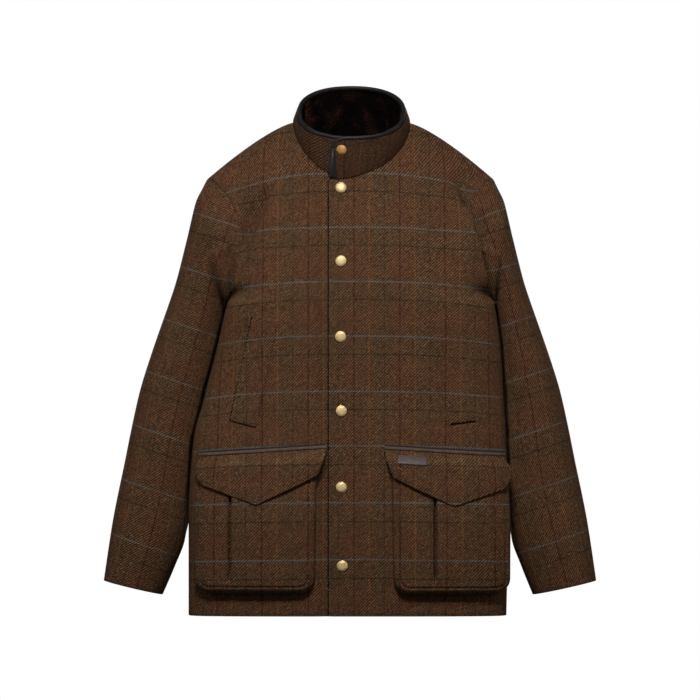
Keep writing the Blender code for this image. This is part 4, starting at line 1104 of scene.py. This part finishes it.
pocket = {
    "lift": 0.001,
    "cloth": 0.0018,
    "flapCloth": 0.0026,
    "depth": 0.0165,
    "mouthDepth": 0.009,
    "fall": 0.14,  # the height over which a bag reaches its full depth
    "edgeRoll": 0.3,
    "gusset": 0.016,
    "round": 2.3,  # how square the bag's edge turns
    "edgeSeam": 0.0115,
    "edgeSeamDepth": 0.0020,
    "edgeSeamWidth": 0.0014,
    "pleatStep": 0.0018,
    "pleatReach": 0.03,
    "pleatGroove": 0.0125,
    "pleatWidth": 0.0020,
    "sag": 0.0012,
    "flapStep": 0.0036,  # the flap stands this far off the bag
    "flapTurn": 0.022,  # the height over which it turns out over the bag
    "flapBow": 0.92,
    "flapCorner": 0.009,
    "flapCornerShare": 0.05,
    "trimHeight": 0.0085,
    "labelSize": (0.045, 0.0125),
    "labelAt": (0.0760, -0.5335),
    "labelCorner": 0.0022,
    "labelSlope": 0.0035,
    "labelStitch": 0.0016,  # in from its edge
}
pocketFields = (
    "side", "bagInner", "bagOuter", "bagInnerLow", "bagOuterLow", "mouth", "bottom", "corner", "pleat",
    "topInner", "topInnerZ", "topOuter", "topOuterZ", "lowInner", "lowInnerZ", "lowOuter", "lowOuterZ",
    "point", "pointZ",
)
pockets = {
    "right": (-1, 0.053, 0.2445, 0.056, 0.2425, -0.565, -0.7535, 0.024, 0.705,
              0.0385, -0.5240, 0.2375, -0.5368, 0.0455, -0.5600, 0.2340, -0.5770, 0.1480, -0.6115),
    "left": (1, 0.066, 0.2490, 0.069, 0.2475, -0.565, -0.7550, 0.024, 0.375,
             0.0550, -0.5255, 0.2440, -0.5370, 0.0630, -0.5640, 0.2410, -0.5840, 0.1640, -0.6140),
}
pockets = {name: dict(zip(pocketFields, row)) for name, row in pockets.items()}
stitch = {
    "pitch": 0.0034,
    "length": 0.0025,
    "thickness": 0.00075,
    "sides": 6,
    "rings": 4,
    "lift": 0.0001,
    "panelLift": 0.0002,
    "edgeIn": 0.0055,  # in from the over front's edge
}
stitchLines = []


def onFront(side, x, z, lift):  # places on a front panel, moved out, with their chart
    points, normals = frontSurface(side, x, z)
    points = points + normals * np.asarray(lift)[..., None]
    places = chart(side, frontArc(side, x, z), x, z)
    points[..., 0] *= side
    normals[..., 0] *= side
    return points, places, normals


def bagDepth(bag, z):
    below = (max(bag["topInnerZ"], bag["topOuterZ"]) - z) / pocket["fall"]
    return pocket["mouthDepth"] + (pocket["depth"] - pocket["mouthDepth"]) * ease(below)


def flapLift(bag, topZ, z):
    turned = ease((topZ - z) / pocket["flapTurn"])
    return pocket["lift"] + pocket["flapCloth"] + (bagDepth(bag, z) + pocket["flapStep"]) * turned


def stretches(*parts):  # places from 0 to 1, in stretches of their own fineness
    places = [np.linspace(start, end, count, endpoint=False) for start, end, count in parts]
    return np.concatenate(places + [[parts[-1][1]]])


def bagEdges(bag, z):
    down = (bag["mouth"] - z) / (bag["mouth"] - bag["bottom"])
    rise = np.maximum(z - bag["bottom"], 0.0)
    lower = np.clip(bag["corner"] - rise, 0.0, bag["corner"])
    inset = bag["corner"] - np.sqrt(bag["corner"] ** 2 - lower**2)
    inner = bag["bagInner"] + (bag["bagInnerLow"] - bag["bagInner"]) * down + inset
    outer = bag["bagOuter"] + (bag["bagOuterLow"] - bag["bagOuter"]) * down - inset
    return inner, outer


def bagLift(bag, x, z):
    inner, outer = bagEdges(bag, z)
    corner = bag["corner"]
    # distance in from the bag's outline, with its round corners
    sideways = np.minimum(x - inner, outer - x)
    upward = z - bag["bottom"]
    cornerX = np.minimum(x - bag["bagInnerLow"], bag["bagOuterLow"] - x)
    inCorner = (cornerX < corner) & (upward < corner)
    fromCorner = corner - np.hypot(corner - cornerX, corner - upward)
    inside = np.where(inCorner, fromCorner, np.minimum(sideways, upward))
    t = np.clip(inside / pocket["gusset"], 0.0, 1.0)
    swell = np.maximum(1 - (1 - t) ** pocket["round"], 0.0) ** (1 / pocket["round"])
    fromSeam = (inside - pocket["edgeSeam"]) / pocket["edgeSeamWidth"]
    seam = pocket["edgeSeamDepth"] * np.exp(-(fromSeam**2))
    width = bag["bagOuter"] - bag["bagInner"]
    away = x - (bag["bagInner"] + bag["pleat"] * width)
    over = np.where((away < 0) == (bag["side"] < 0), 1.0, -1.0)
    groove = pocket["pleatGroove"] * np.exp(-((away / pocket["pleatWidth"]) ** 2))
    pleat = pocket["pleatStep"] * over * np.exp(-np.abs(away) / pocket["pleatReach"]) - groove
    pleat = pleat * ease((bag["mouth"] - z) / 0.03) * ease((upward - 0.014) / 0.02)
    sag = pocket["sag"] * np.sin((x - inner) / (outer - inner) * math.pi) * ease((bag["mouth"] - z) / 0.1)
    return pocket["lift"] + bagDepth(bag, z) * swell + (pleat + sag) * swell - seam * ease(t / 0.3)


def pocketPiece(name, bag):
    pleat = bag["pleat"]
    across = stretches((0.0, 0.09, 16), (0.09, pleat - 0.03, 22), (pleat - 0.03, pleat + 0.03, 16),
                       (pleat + 0.03, 0.91, 22), (0.91, 1.0, 16))
    down = stretches((0.0, 0.84, 30), (0.84, 1.0, 22))
    z = bag["mouth"] + (bag["bottom"] - bag["mouth"]) * np.repeat(down[:, None], len(across), axis=1)
    inner, outer = bagEdges(bag, z)
    x = inner + (outer - inner) * across[None, :]
    points, places, _ = onFront(bag["side"], x, z, bagLift(bag, x, z))
    sheet = (points, places, bag["side"] > 0)
    piece = clothShell(f"pocket_{name}_cloth", [sheet], tweedCloth, pocket["cloth"], roll=pocket["edgeRoll"])
    finishCloth(piece, f"pocket_{name}")
    inset = pocket["edgeSeam"]
    corner = bag["corner"] - inset
    turn = np.linspace(0.0, math.pi / 2, 12)
    innerX, outerX = bag["bagInnerLow"] + inset, bag["bagOuterLow"] - inset
    low = bag["bottom"] + inset
    lineX = np.concatenate([
        [bag["bagInner"] + inset], innerX + corner - corner * np.cos(turn),
        np.linspace(innerX + corner, outerX - corner, 30), outerX - corner + corner * np.sin(turn),
        [bag["bagOuter"] - inset],
    ])
    lineZ = np.concatenate([
        [bag["mouth"] - 0.03], low + corner - corner * np.sin(turn), np.full(30, low),
        low + corner - corner * np.cos(turn), [bag["mouth"] - 0.03],
    ])
    lineX, lineZ = densify(lineX, lineZ)
    lift = bagLift(bag, lineX, lineZ) + stitch["lift"]
    stitchLines.append(onFront(bag["side"], lineX, lineZ, lift)[0])


def densify(x, z, step=0.004):
    length = np.concatenate([[0.0], np.cumsum(np.hypot(np.diff(x), np.diff(z)))])
    places = np.linspace(0.0, length[-1], max(2, int(length[-1] / step)))
    return np.interp(places, length, x), np.interp(places, length, z)


def flapEdges(bag, share):
    topX = bag["topInner"] + (bag["topOuter"] - bag["topInner"]) * share
    topZ = bag["topInnerZ"] + (bag["topOuterZ"] - bag["topInnerZ"]) * share
    lowX = bag["lowInner"] + (bag["lowOuter"] - bag["lowInner"]) * share
    middle = (bag["point"] - bag["lowInner"]) / (bag["lowOuter"] - bag["lowInner"])
    start = np.where(share < middle, bag["lowInnerZ"], bag["lowOuterZ"])
    part = np.where(share < middle, share / middle, (1 - share) / (1 - middle))
    lowZ = start + (bag["pointZ"] - start) * np.clip(part, 0.0, 1.0) ** pocket["flapBow"]
    fromEnd = np.minimum(share, 1 - share) / pocket["flapCornerShare"]
    lowZ = lowZ + pocket["flapCorner"] * np.maximum(0.0, 1 - fromEnd) ** 2
    return topX, topZ, lowX, lowZ


def flapPlace(bag, share, down):
    topX, topZ, lowX, lowZ = flapEdges(bag, share)
    x = topX + (lowX - topX) * down
    z = topZ + (lowZ - topZ) * down
    curl = -0.0012 * ease((down - 0.82) / 0.18) + 0.0010 * np.sin(share * 7.0) * ease(down / 0.6)
    return x, z, flapLift(bag, topZ, z) + curl


def flapPiece(name, bag):
    share = stretches((0.0, 0.07, 10), (0.07, 0.93, 60), (0.93, 1.0, 10))[None, :]
    down = stretches((0.0, 0.85, 24), (0.85, 1.0, 8))[:, None]
    x, z, lift = flapPlace(bag, share, down)
    points, places, _ = onFront(bag["side"], x, z, lift)
    sheet = (points, places, bag["side"] > 0)
    piece = clothShell(f"flap_{name}_cloth", [sheet], tweedCloth, pocket["flapCloth"])
    finishCloth(piece, f"flap_{name}")
    edge = np.concatenate([np.full(12, 0.035), np.linspace(0.035, 0.965, 70), np.full(12, 0.965)])
    reach = np.concatenate([np.linspace(0.12, 0.84, 12), np.full(70, 0.87), np.linspace(0.84, 0.12, 12)])
    x, z, lift = flapPlace(bag, edge, reach)
    stitchLines.append(onFront(bag["side"], x, z, lift + stitch["lift"])[0])


def trimPiece(name, bag):
    share = np.linspace(0.0, 1.0, 80)
    topX, topZ, _, _ = flapEdges(bag, share)
    around = np.linspace(0.0, 1.0, 9)[:, None]
    x = np.repeat(topX[None, :], len(around), axis=0)
    z = topZ[None, :] + 0.0006 + pocket["trimHeight"] * (1 - around)
    lift = pocket["lift"] + 0.0014 + 0.0022 * np.sqrt(np.sin(around * math.pi)) * np.ones_like(x)
    points, _, _ = onFront(bag["side"], x, z, lift)
    places = np.stack(np.broadcast_arrays(share[None, :], around), axis=-1)
    piece = clothShell(f"pocket_trim_{name}_band", [(points, places, bag["side"] > 0)], wovenTrim, 0.0012)
    finishCloth(piece, f"pocket_trim_{name}")


def labelPiece(bag):
    wide, tall = pocket["labelSize"]
    startX, startZ = pocket["labelAt"]
    share = stretches((0.0, 0.06, 5), (0.06, 0.94, 24), (0.94, 1.0, 5))[None, :]
    down = stretches((0.0, 0.2, 4), (0.2, 0.8, 6), (0.8, 1.0, 4))[:, None]
    corner = pocket["labelCorner"]
    fromEdge = np.minimum(share, 1 - share) * wide
    rounded = corner - np.sqrt(np.maximum(corner**2 - (corner - fromEdge) ** 2, 0.0))
    inset = np.where(fromEdge < corner, rounded, 0.0)
    x = startX + wide * share + 0.0 * down
    z = startZ - inset - (tall - 2 * inset) * down - pocket["labelSlope"] * share
    topZ = np.interp(x, [bag["topInner"], bag["topOuter"]], [bag["topInnerZ"], bag["topOuterZ"]])
    pillow = 0.0004 * (np.sin(share * math.pi) * np.sin(down * math.pi)) ** 0.5
    lift = flapLift(bag, topZ, z) + 0.0012 + 0.0012 + pillow
    points, places, _ = onFront(bag["side"], x, z, lift)
    piece = clothShell("label_tab_leather", [(points, places, bag["side"] > 0)], labelLeather, 0.0014)
    finishCloth(piece, "label_tab")
    near = pocket["labelStitch"]
    ringX = np.array([near, wide - near, wide - near, near, near])
    ringZ = -np.array([near, near, tall - near, tall - near, near]) - pocket["labelSlope"] * ringX / wide
    lineX, lineZ = densify(startX + ringX, startZ + ringZ, 0.002)
    topZ = np.interp(lineX, [bag["topInner"], bag["topOuter"]], [bag["topInnerZ"], bag["topOuterZ"]])
    stitchLines.append(onFront(bag["side"], lineX, lineZ, flapLift(bag, topZ, lineZ) + 0.0026)[0])


for name, bag in pockets.items():
    pocketPiece(name, bag)
    flapPiece(name, bag)
    trimPiece(name, bag)
labelPiece(pockets["left"])
print("pockets laid on")

welt = {"cloth": 0.0018, "lift": 0.001}
# Corners: top and foot of the opening edge, then foot and top of the sewn edge
welts = {
    "right": (-1, (0.1535, -0.310), (0.1890, -0.4780), (0.1500, -0.4880), (0.1150, -0.320)),
    "left": (1, (0.1700, -0.310), (0.1985, -0.4780), (0.1590, -0.4830), (0.1300, -0.318)),
}


def weltPiece(name, side, openTop, openFoot, sewnFoot, sewnTop):
    along = np.linspace(0.0, 1.0, 44)[:, None]
    inward = stretches((0.0, 0.2, 5), (0.2, 1.0, 12))[None, :]

    def corners(axis, a, b):
        opened = openTop[axis] + (openFoot[axis] - openTop[axis]) * a
        sewn = sewnTop[axis] + (sewnFoot[axis] - sewnTop[axis]) * a
        return opened + (sewn - opened) * b

    x, z = corners(0, along, inward), corners(1, along, inward)
    proud = 0.0022 * (1 - ease(inward / 0.5)) * np.sin(along * math.pi) ** 0.5
    points, places, _ = onFront(side, x, z, welt["lift"] + welt["cloth"] + proud)
    piece = clothShell(f"welt_{name}_cloth", [(points, places, side < 0)], tweedCloth, welt["cloth"])
    finishCloth(piece, f"welt_{name}")
    route = [(0.03, 0.10), (0.03, 0.93), (0.97, 0.93), (0.97, 0.10)]
    lineX = np.array([corners(0, a, b) for a, b in route])
    lineZ = np.array([corners(1, a, b) for a, b in route])
    lineX, lineZ = densify(lineX, lineZ)
    lift = np.full(len(lineX), welt["lift"] + welt["cloth"] + stitch["panelLift"])
    stitchLines.append(onFront(side, lineX, lineZ, lift)[0])


def ribbonPiece(name, side, start, end, shows, lift):  # dark facing that shows along an edge, mostly painted shadow: the gap at a welt's opening, and beside the fly's edge
    along = np.linspace(0.0, 1.0, 60)[:, None]
    x = start[0] + (end[0] - start[0]) * along
    z = start[1] + (end[1] - start[1]) * along
    run = unit(np.array([end[0] - start[0], end[1] - start[1]]))
    across = np.array([[-0.0104, -0.004, 0.0, shows / 2, shows]])
    x, z = x - run[1] * across, z + run[0] * across
    points, places, _ = onFront(side, x, z, np.full(x.shape, lift))
    piece = clothShell(f"{name}_facing_painted_shadow", [(points, places, side < 0)], paintedShadowFacing, 0.0007)
    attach(piece, "root")


for name, row in welts.items():
    weltPiece(name, *row)
ribbonPiece("welt_right", -1, (0.1537, -0.312), (0.1890, -0.4780), 0.0022, 0.0009)
ribbonPiece("welt_left", 1, (0.1985, -0.4782), (0.1600, -0.4832), 0.0018, 0.0009)
ribbonPiece("fly", 1, (-0.0330, -0.7890), (-0.0330, -0.0960), 0.0022, -0.0026)

snap = {
    "radius": 0.0086,
    "height": 0.0032,
    "lift": 0.0006,
    "around": 40,
    "places": {
        "snap_1": (-0.0144, -0.108), "snap_2": (-0.0144, -0.225), "snap_3": (-0.0150, -0.345),
        "snap_4": (-0.0138, -0.463), "snap_5": (-0.0138, -0.584), "snap_6": (-0.0122, -0.709),
    },
    "collarPlace": ("snap_7", -0.0120, -0.048),
    "collarColumns": 60,  # of the collar's lapped end, where its snap lies
}


def snapPiece(name, point, normal, material):
    profile = [  # out from the axis and up from the cloth, as shares of radius and height
        (0.0, 0.0), (0.90, 0.0), (0.97, 0.05), (1.0, 0.16), (0.985, 0.30), (0.95, 0.40), (0.915, 0.43),
        (0.885, 0.455), (0.85, 0.56), (0.78, 0.72), (0.68, 0.84), (0.52, 0.93), (0.34, 0.975), (0.16, 0.995),
        (0.0, 1.0),
    ]
    count = snap["around"]
    turns = np.linspace(0.0, 2 * math.pi, count, endpoint=False)
    points, faces = [(0.0, 0.0, 0.0)], []
    for out, up in profile[1:-1]:
        reach, height = snap["radius"] * out, snap["height"] * up
        points += [(reach * math.cos(t), reach * math.sin(t), height) for t in turns]
    points.append((0.0, 0.0, snap["height"]))
    rings = len(profile) - 2
    for k in range(count):
        after = (k + 1) % count
        faces.append((0, 1 + after, 1 + k))
        for ring in range(rings - 1):
            low, high = 1 + ring * count, 1 + (ring + 1) * count
            faces.append((low + k, low + after, high + after, high + k))
        last = 1 + (rings - 1) * count
        faces.append((last + k, last + after, len(points) - 1))
    turned = Vector((0.0, 0.0, 1.0)).rotation_difference(Vector(normal)).to_matrix()
    placed = [Vector(point) + Vector(normal) * snap["lift"] + turned @ Vector(place) for place in points]
    piece = meshObject(f"{name}_cap", placed, faces, None, material)
    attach(piece, "root")
    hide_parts(name)


for name, (x, z) in snap["places"].items():
    point, normal = frontSurface(1, np.array([x]), np.array([z]))
    snapPiece(name, point[0], normal[0], brassMetal)
name, x, z = snap["collarPlace"]
endPart = collarPoints[:, -snap["collarColumns"] :]
away = (endPart[:, :, 0] - x) ** 2 + (endPart[:, :, 2] - z) ** 2
nearest = np.unravel_index(np.argmin(away), away.shape)
normal = collarNormals[:, -snap["collarColumns"] :][nearest]
snapPiece(name, endPart[nearest], normal, collarBrassPaintedShade)
print("snaps set")

# Stitching along seams and edges
def gridLine(grid, normals, row):
    return grid[row] + normals[row] * stitch["lift"]


def frontLine(side, x, z):  # a row of stitches on a front panel
    x, z = np.broadcast_arrays(x, z)
    return onFront(side, x, z, np.full(len(x), stitch["panelLift"]))[0]


for side in (1, -1):
    hemX = np.linspace(-body["overEdge"] + 0.004 if side > 0 else 0.0345, 0.244, 120)
    stitchLines.append(frontLine(side, hemX, body["hemStitch"]))
    backGrid = panels["back", side][0]
    backNormals = gridNormals(backGrid, np.array([0.0, 1.0, 0.0]))
    hemRow = int(np.argmin(np.abs(backGrid[: armRow["back"], 0, 2] - body["hemStitch"])))
    stitchLines.append(gridLine(backGrid, backNormals, hemRow)[:-1])
    sleevePoints, sleeveNormals = sleeves[side]
    fromCuff = np.linalg.norm(sleevePoints - sleevePoints[-1:], axis=2).mean(axis=1)
    cuffRow = int(np.argmin(np.abs(fromCuff - sleeve["cuffStitch"])))
    stitchLines.append(gridLine(sleevePoints, sleeveNormals, cuffRow))
stitchLines.append(frontLine(1, body["flyStitch"], np.linspace(-0.190, -0.765, 150)))
stitchLines.append(frontLine(1, -body["overEdge"] + stitch["edgeIn"], np.linspace(-0.100, -0.770, 160)))


def geometryTree(name, inputs):
    tree = bpy.data.node_groups.new(name, "GeometryNodeTree")
    tree.interface.new_socket(name="Geometry", in_out="INPUT", socket_type="NodeSocketGeometry")
    identifiers = {}
    for title, kind in inputs:
        socket = tree.interface.new_socket(name=title, in_out="INPUT", socket_type=kind)
        identifiers[title] = socket.identifier
    tree.interface.new_socket(name="Geometry", in_out="OUTPUT", socket_type="NodeSocketGeometry")
    return tree, tree.nodes.new("NodeGroupInput"), tree.nodes.new("NodeGroupOutput"), identifiers


def stitchTree():
    tree, given, made, identifiers = geometryTree("stitchRun", [
        ("Pitch", "NodeSocketFloat"), ("Length", "NodeSocketFloat"), ("Thickness", "NodeSocketFloat"),
        ("Thread", "NodeSocketMaterial"),
    ])
    curve = addNode(tree, "GeometryNodeMeshToCurve", {"Mesh": given.outputs["Geometry"]})
    run = addNode(tree, "GeometryNodeResampleCurve",
                  {"Curve": curve.outputs[0], "Length": given.outputs["Pitch"]}, mode="LENGTH")
    bead = addNode(tree, "GeometryNodeMeshUVSphere",
                   {"Segments": stitch["sides"], "Rings": stitch["rings"], "Radius": 0.5})
    along = addNode(tree, "GeometryNodeInputTangent")
    turned = addNode(tree, "FunctionNodeAlignRotationToVector", {"Vector": along.outputs[0]}, axis="Z")
    size = addNode(tree, "ShaderNodeCombineXYZ", {
        0: given.outputs["Thickness"], 1: given.outputs["Thickness"], 2: given.outputs["Length"],
    })
    beads = addNode(tree, "GeometryNodeInstanceOnPoints", {
        "Points": run.outputs[0], "Instance": bead.outputs["Mesh"], "Rotation": turned.outputs[0],
        "Scale": size.outputs[0],
    })
    real = addNode(tree, "GeometryNodeRealizeInstances", {"Geometry": beads.outputs[0]})
    painted = addNode(tree, "GeometryNodeSetMaterial",
                      {"Geometry": real.outputs[0], "Material": given.outputs["Thread"]})
    tree.links.new(painted.outputs[0], made.inputs[0])
    return tree, identifiers


def grownMesh(thing, tree, identifiers, values, name):  # the modifier's result as a plain mesh
    modifier = thing.modifiers.new(tree.name, "NODES")
    modifier.node_group = tree
    for title, value in values.items():
        modifier[identifiers[title]] = value
    bpy.context.view_layer.update()
    evaluated = thing.evaluated_get(bpy.context.evaluated_depsgraph_get())
    mesh = bpy.data.meshes.new_from_object(evaluated)
    thing.modifiers.remove(modifier)
    bpy.data.objects.remove(thing, do_unlink=True)
    mesh.name = name
    mesh.polygons.foreach_set("use_smooth", [True] * len(mesh.polygons))
    piece = bpy.data.objects.new(name, mesh)
    bpy.context.scene.collection.objects.link(piece)
    return piece


def stitchPiece():
    points, edges = [], []
    for line in stitchLines:
        edges += [(len(points) + k, len(points) + k + 1) for k in range(len(line) - 1)]
        points += [tuple(point) for point in line]
    mesh = bpy.data.meshes.new("stitch_lines")
    mesh.from_pydata(points, edges, [])
    lines = bpy.data.objects.new("stitch_lines", mesh)
    bpy.context.scene.collection.objects.link(lines)
    tree, identifiers = stitchTree()
    piece = grownMesh(lines, tree, identifiers, {
        "Pitch": stitch["pitch"], "Length": stitch["length"], "Thickness": stitch["thickness"],
        "Thread": sewingThread,
    }, "stitching")
    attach(piece, "root")
    return piece


stitching = stitchPiece()
print("stitching", len(stitching.data.polygons))

pile = {"density": 420000.0, "length": 0.0042, "radius": 0.00042, "lean": 0.75, "seed": 7}


def pileTree():
    tree, given, made, identifiers = geometryTree("plushPile", [
        ("Density", "NodeSocketFloat"), ("Length", "NodeSocketFloat"), ("Radius", "NodeSocketFloat"),
        ("Lean", "NodeSocketFloat"), ("Seed", "NodeSocketInt"), ("Fibre", "NodeSocketMaterial"),
    ])
    spread = addNode(tree, "GeometryNodeDistributePointsOnFaces", {
        "Mesh": given.outputs["Geometry"], "Density": given.outputs["Density"], "Seed": given.outputs["Seed"],
    })
    tuft = addNode(tree, "GeometryNodeMeshCone", {
        "Vertices": 3, "Side Segments": 1, "Radius Top": 0.0,
        "Radius Bottom": given.outputs["Radius"], "Depth": given.outputs["Length"],
    }, fill_type="NONE")
    sway = addNode(tree, "FunctionNodeRandomValue", {"Seed": given.outputs["Seed"]}, data_type="FLOAT_VECTOR")
    sway.inputs[0].default_value = (-1.0, -1.0, -1.6)
    sway.inputs[1].default_value = (1.0, 1.0, 0.2)
    leaned = addNode(tree, "ShaderNodeVectorMath",
                     {0: sway.outputs[0], "Scale": given.outputs["Lean"]}, operation="SCALE")
    toward = addNode(tree, "ShaderNodeVectorMath", {0: spread.outputs["Normal"], 1: leaned.outputs[0]},
                     operation="ADD")
    turned = addNode(tree, "FunctionNodeAlignRotationToVector", {"Vector": toward.outputs[0]}, axis="Z")
    grown = addNode(tree, "FunctionNodeRandomValue", {"Seed": given.outputs["Seed"]}, data_type="FLOAT")
    grown.inputs[2].default_value = 0.6
    grown.inputs[3].default_value = 1.15
    tufts = addNode(tree, "GeometryNodeInstanceOnPoints", {
        "Points": spread.outputs["Points"], "Instance": tuft.outputs["Mesh"], "Rotation": turned.outputs[0],
        "Scale": grown.outputs[1],
    })
    real = addNode(tree, "GeometryNodeRealizeInstances", {"Geometry": tufts.outputs[0]})
    painted = addNode(tree, "GeometryNodeSetMaterial",
                      {"Geometry": real.outputs[0], "Material": given.outputs["Fibre"]})
    tree.links.new(painted.outputs[0], made.inputs[0])
    return tree, identifiers


tree, identifiers = pileTree()
pilePiece = grownMesh(pileBase, tree, identifiers, {
    "Density": pile["density"], "Length": pile["length"], "Radius": pile["radius"], "Lean": pile["lean"],
    "Seed": pile["seed"], "Fibre": plushPile,
}, "collar_lining_pile")
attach(pilePiece, "root")
print("pile", len(pilePiece.data.polygons))

studio = {
    "cameraAway": 12.0,
    "frameWidth": 1.12,  # what 700 pixels show at the jacket
    "frameMiddle": (0.0, 0.0, -0.3664),
    "world": 0.05,
}


def aimed(thing, place, target):
    thing.location = place
    thing.rotation_euler = (Vector(target) - Vector(place)).to_track_quat("-Z", "Y").to_euler()
    bpy.context.scene.collection.objects.link(thing)


def softbox(name, place, size, power, target=None, spread=180.0):
    light = bpy.data.lights.new(name, "AREA")
    light.shape = "RECTANGLE"
    light.size, light.size_y = size
    light.energy = power
    light.spread = math.radians(spread)
    aimed(bpy.data.objects.new(name, light), place, target or studio["frameMiddle"])


def setStudio():
    scene = bpy.context.scene
    scene.view_settings.view_transform = "Standard"
    middle = Vector(studio["frameMiddle"])
    camera = bpy.data.cameras.new("camera")
    camera.sensor_width = 36.0
    camera.lens = camera.sensor_width * studio["cameraAway"] / studio["frameWidth"]
    camera.clip_end = 60.0
    viewer = bpy.data.objects.new("camera", camera)
    aimed(viewer, middle + Vector((0.0, -studio["cameraAway"], 0.0)), middle)
    scene.camera = viewer
    softbox("key", (-0.10, -1.95, 1.40), (1.0, 0.5), 3.3, (0.0, -0.09, -0.40), 39.0)
    softbox("fill", (0.2, -3.4, 0.1), (2.4, 1.6), 2.0)
    softbox("top", (0.0, 0.1, 1.9), (1.8, 1.2), 1.0)
    softbox("behind", (0.0, 3.0, 0.9), (2.6, 2.0), 55.0)
    softbox("left", (2.8, -0.7, 0.3), (1.4, 1.6), 8.0)
    softbox("right", (-2.8, -0.7, 0.3), (1.4, 1.6), 8.0)
    world = bpy.data.worlds.new("studio")
    world.use_nodes = True
    scene.world = world
    tree = world.node_tree
    tree.nodes.clear()
    seen = addNode(tree, "ShaderNodeBackground", {"Color": (1.0, 1.0, 1.0, 1.0), "Strength": 1.0})
    glow = addNode(tree, "ShaderNodeBackground", {"Color": (1.0, 1.0, 1.0, 1.0), "Strength": studio["world"]})
    path = addNode(tree, "ShaderNodeLightPath")
    mix = addNode(tree, "ShaderNodeMixShader", {0: path.outputs["Is Camera Ray"]})
    tree.links.new(glow.outputs[0], mix.inputs[1])
    tree.links.new(seen.outputs[0], mix.inputs[2])
    output = addNode(tree, "ShaderNodeOutputWorld")
    tree.links.new(mix.outputs[0], output.inputs[0])


setStudio()
print("studio lit")
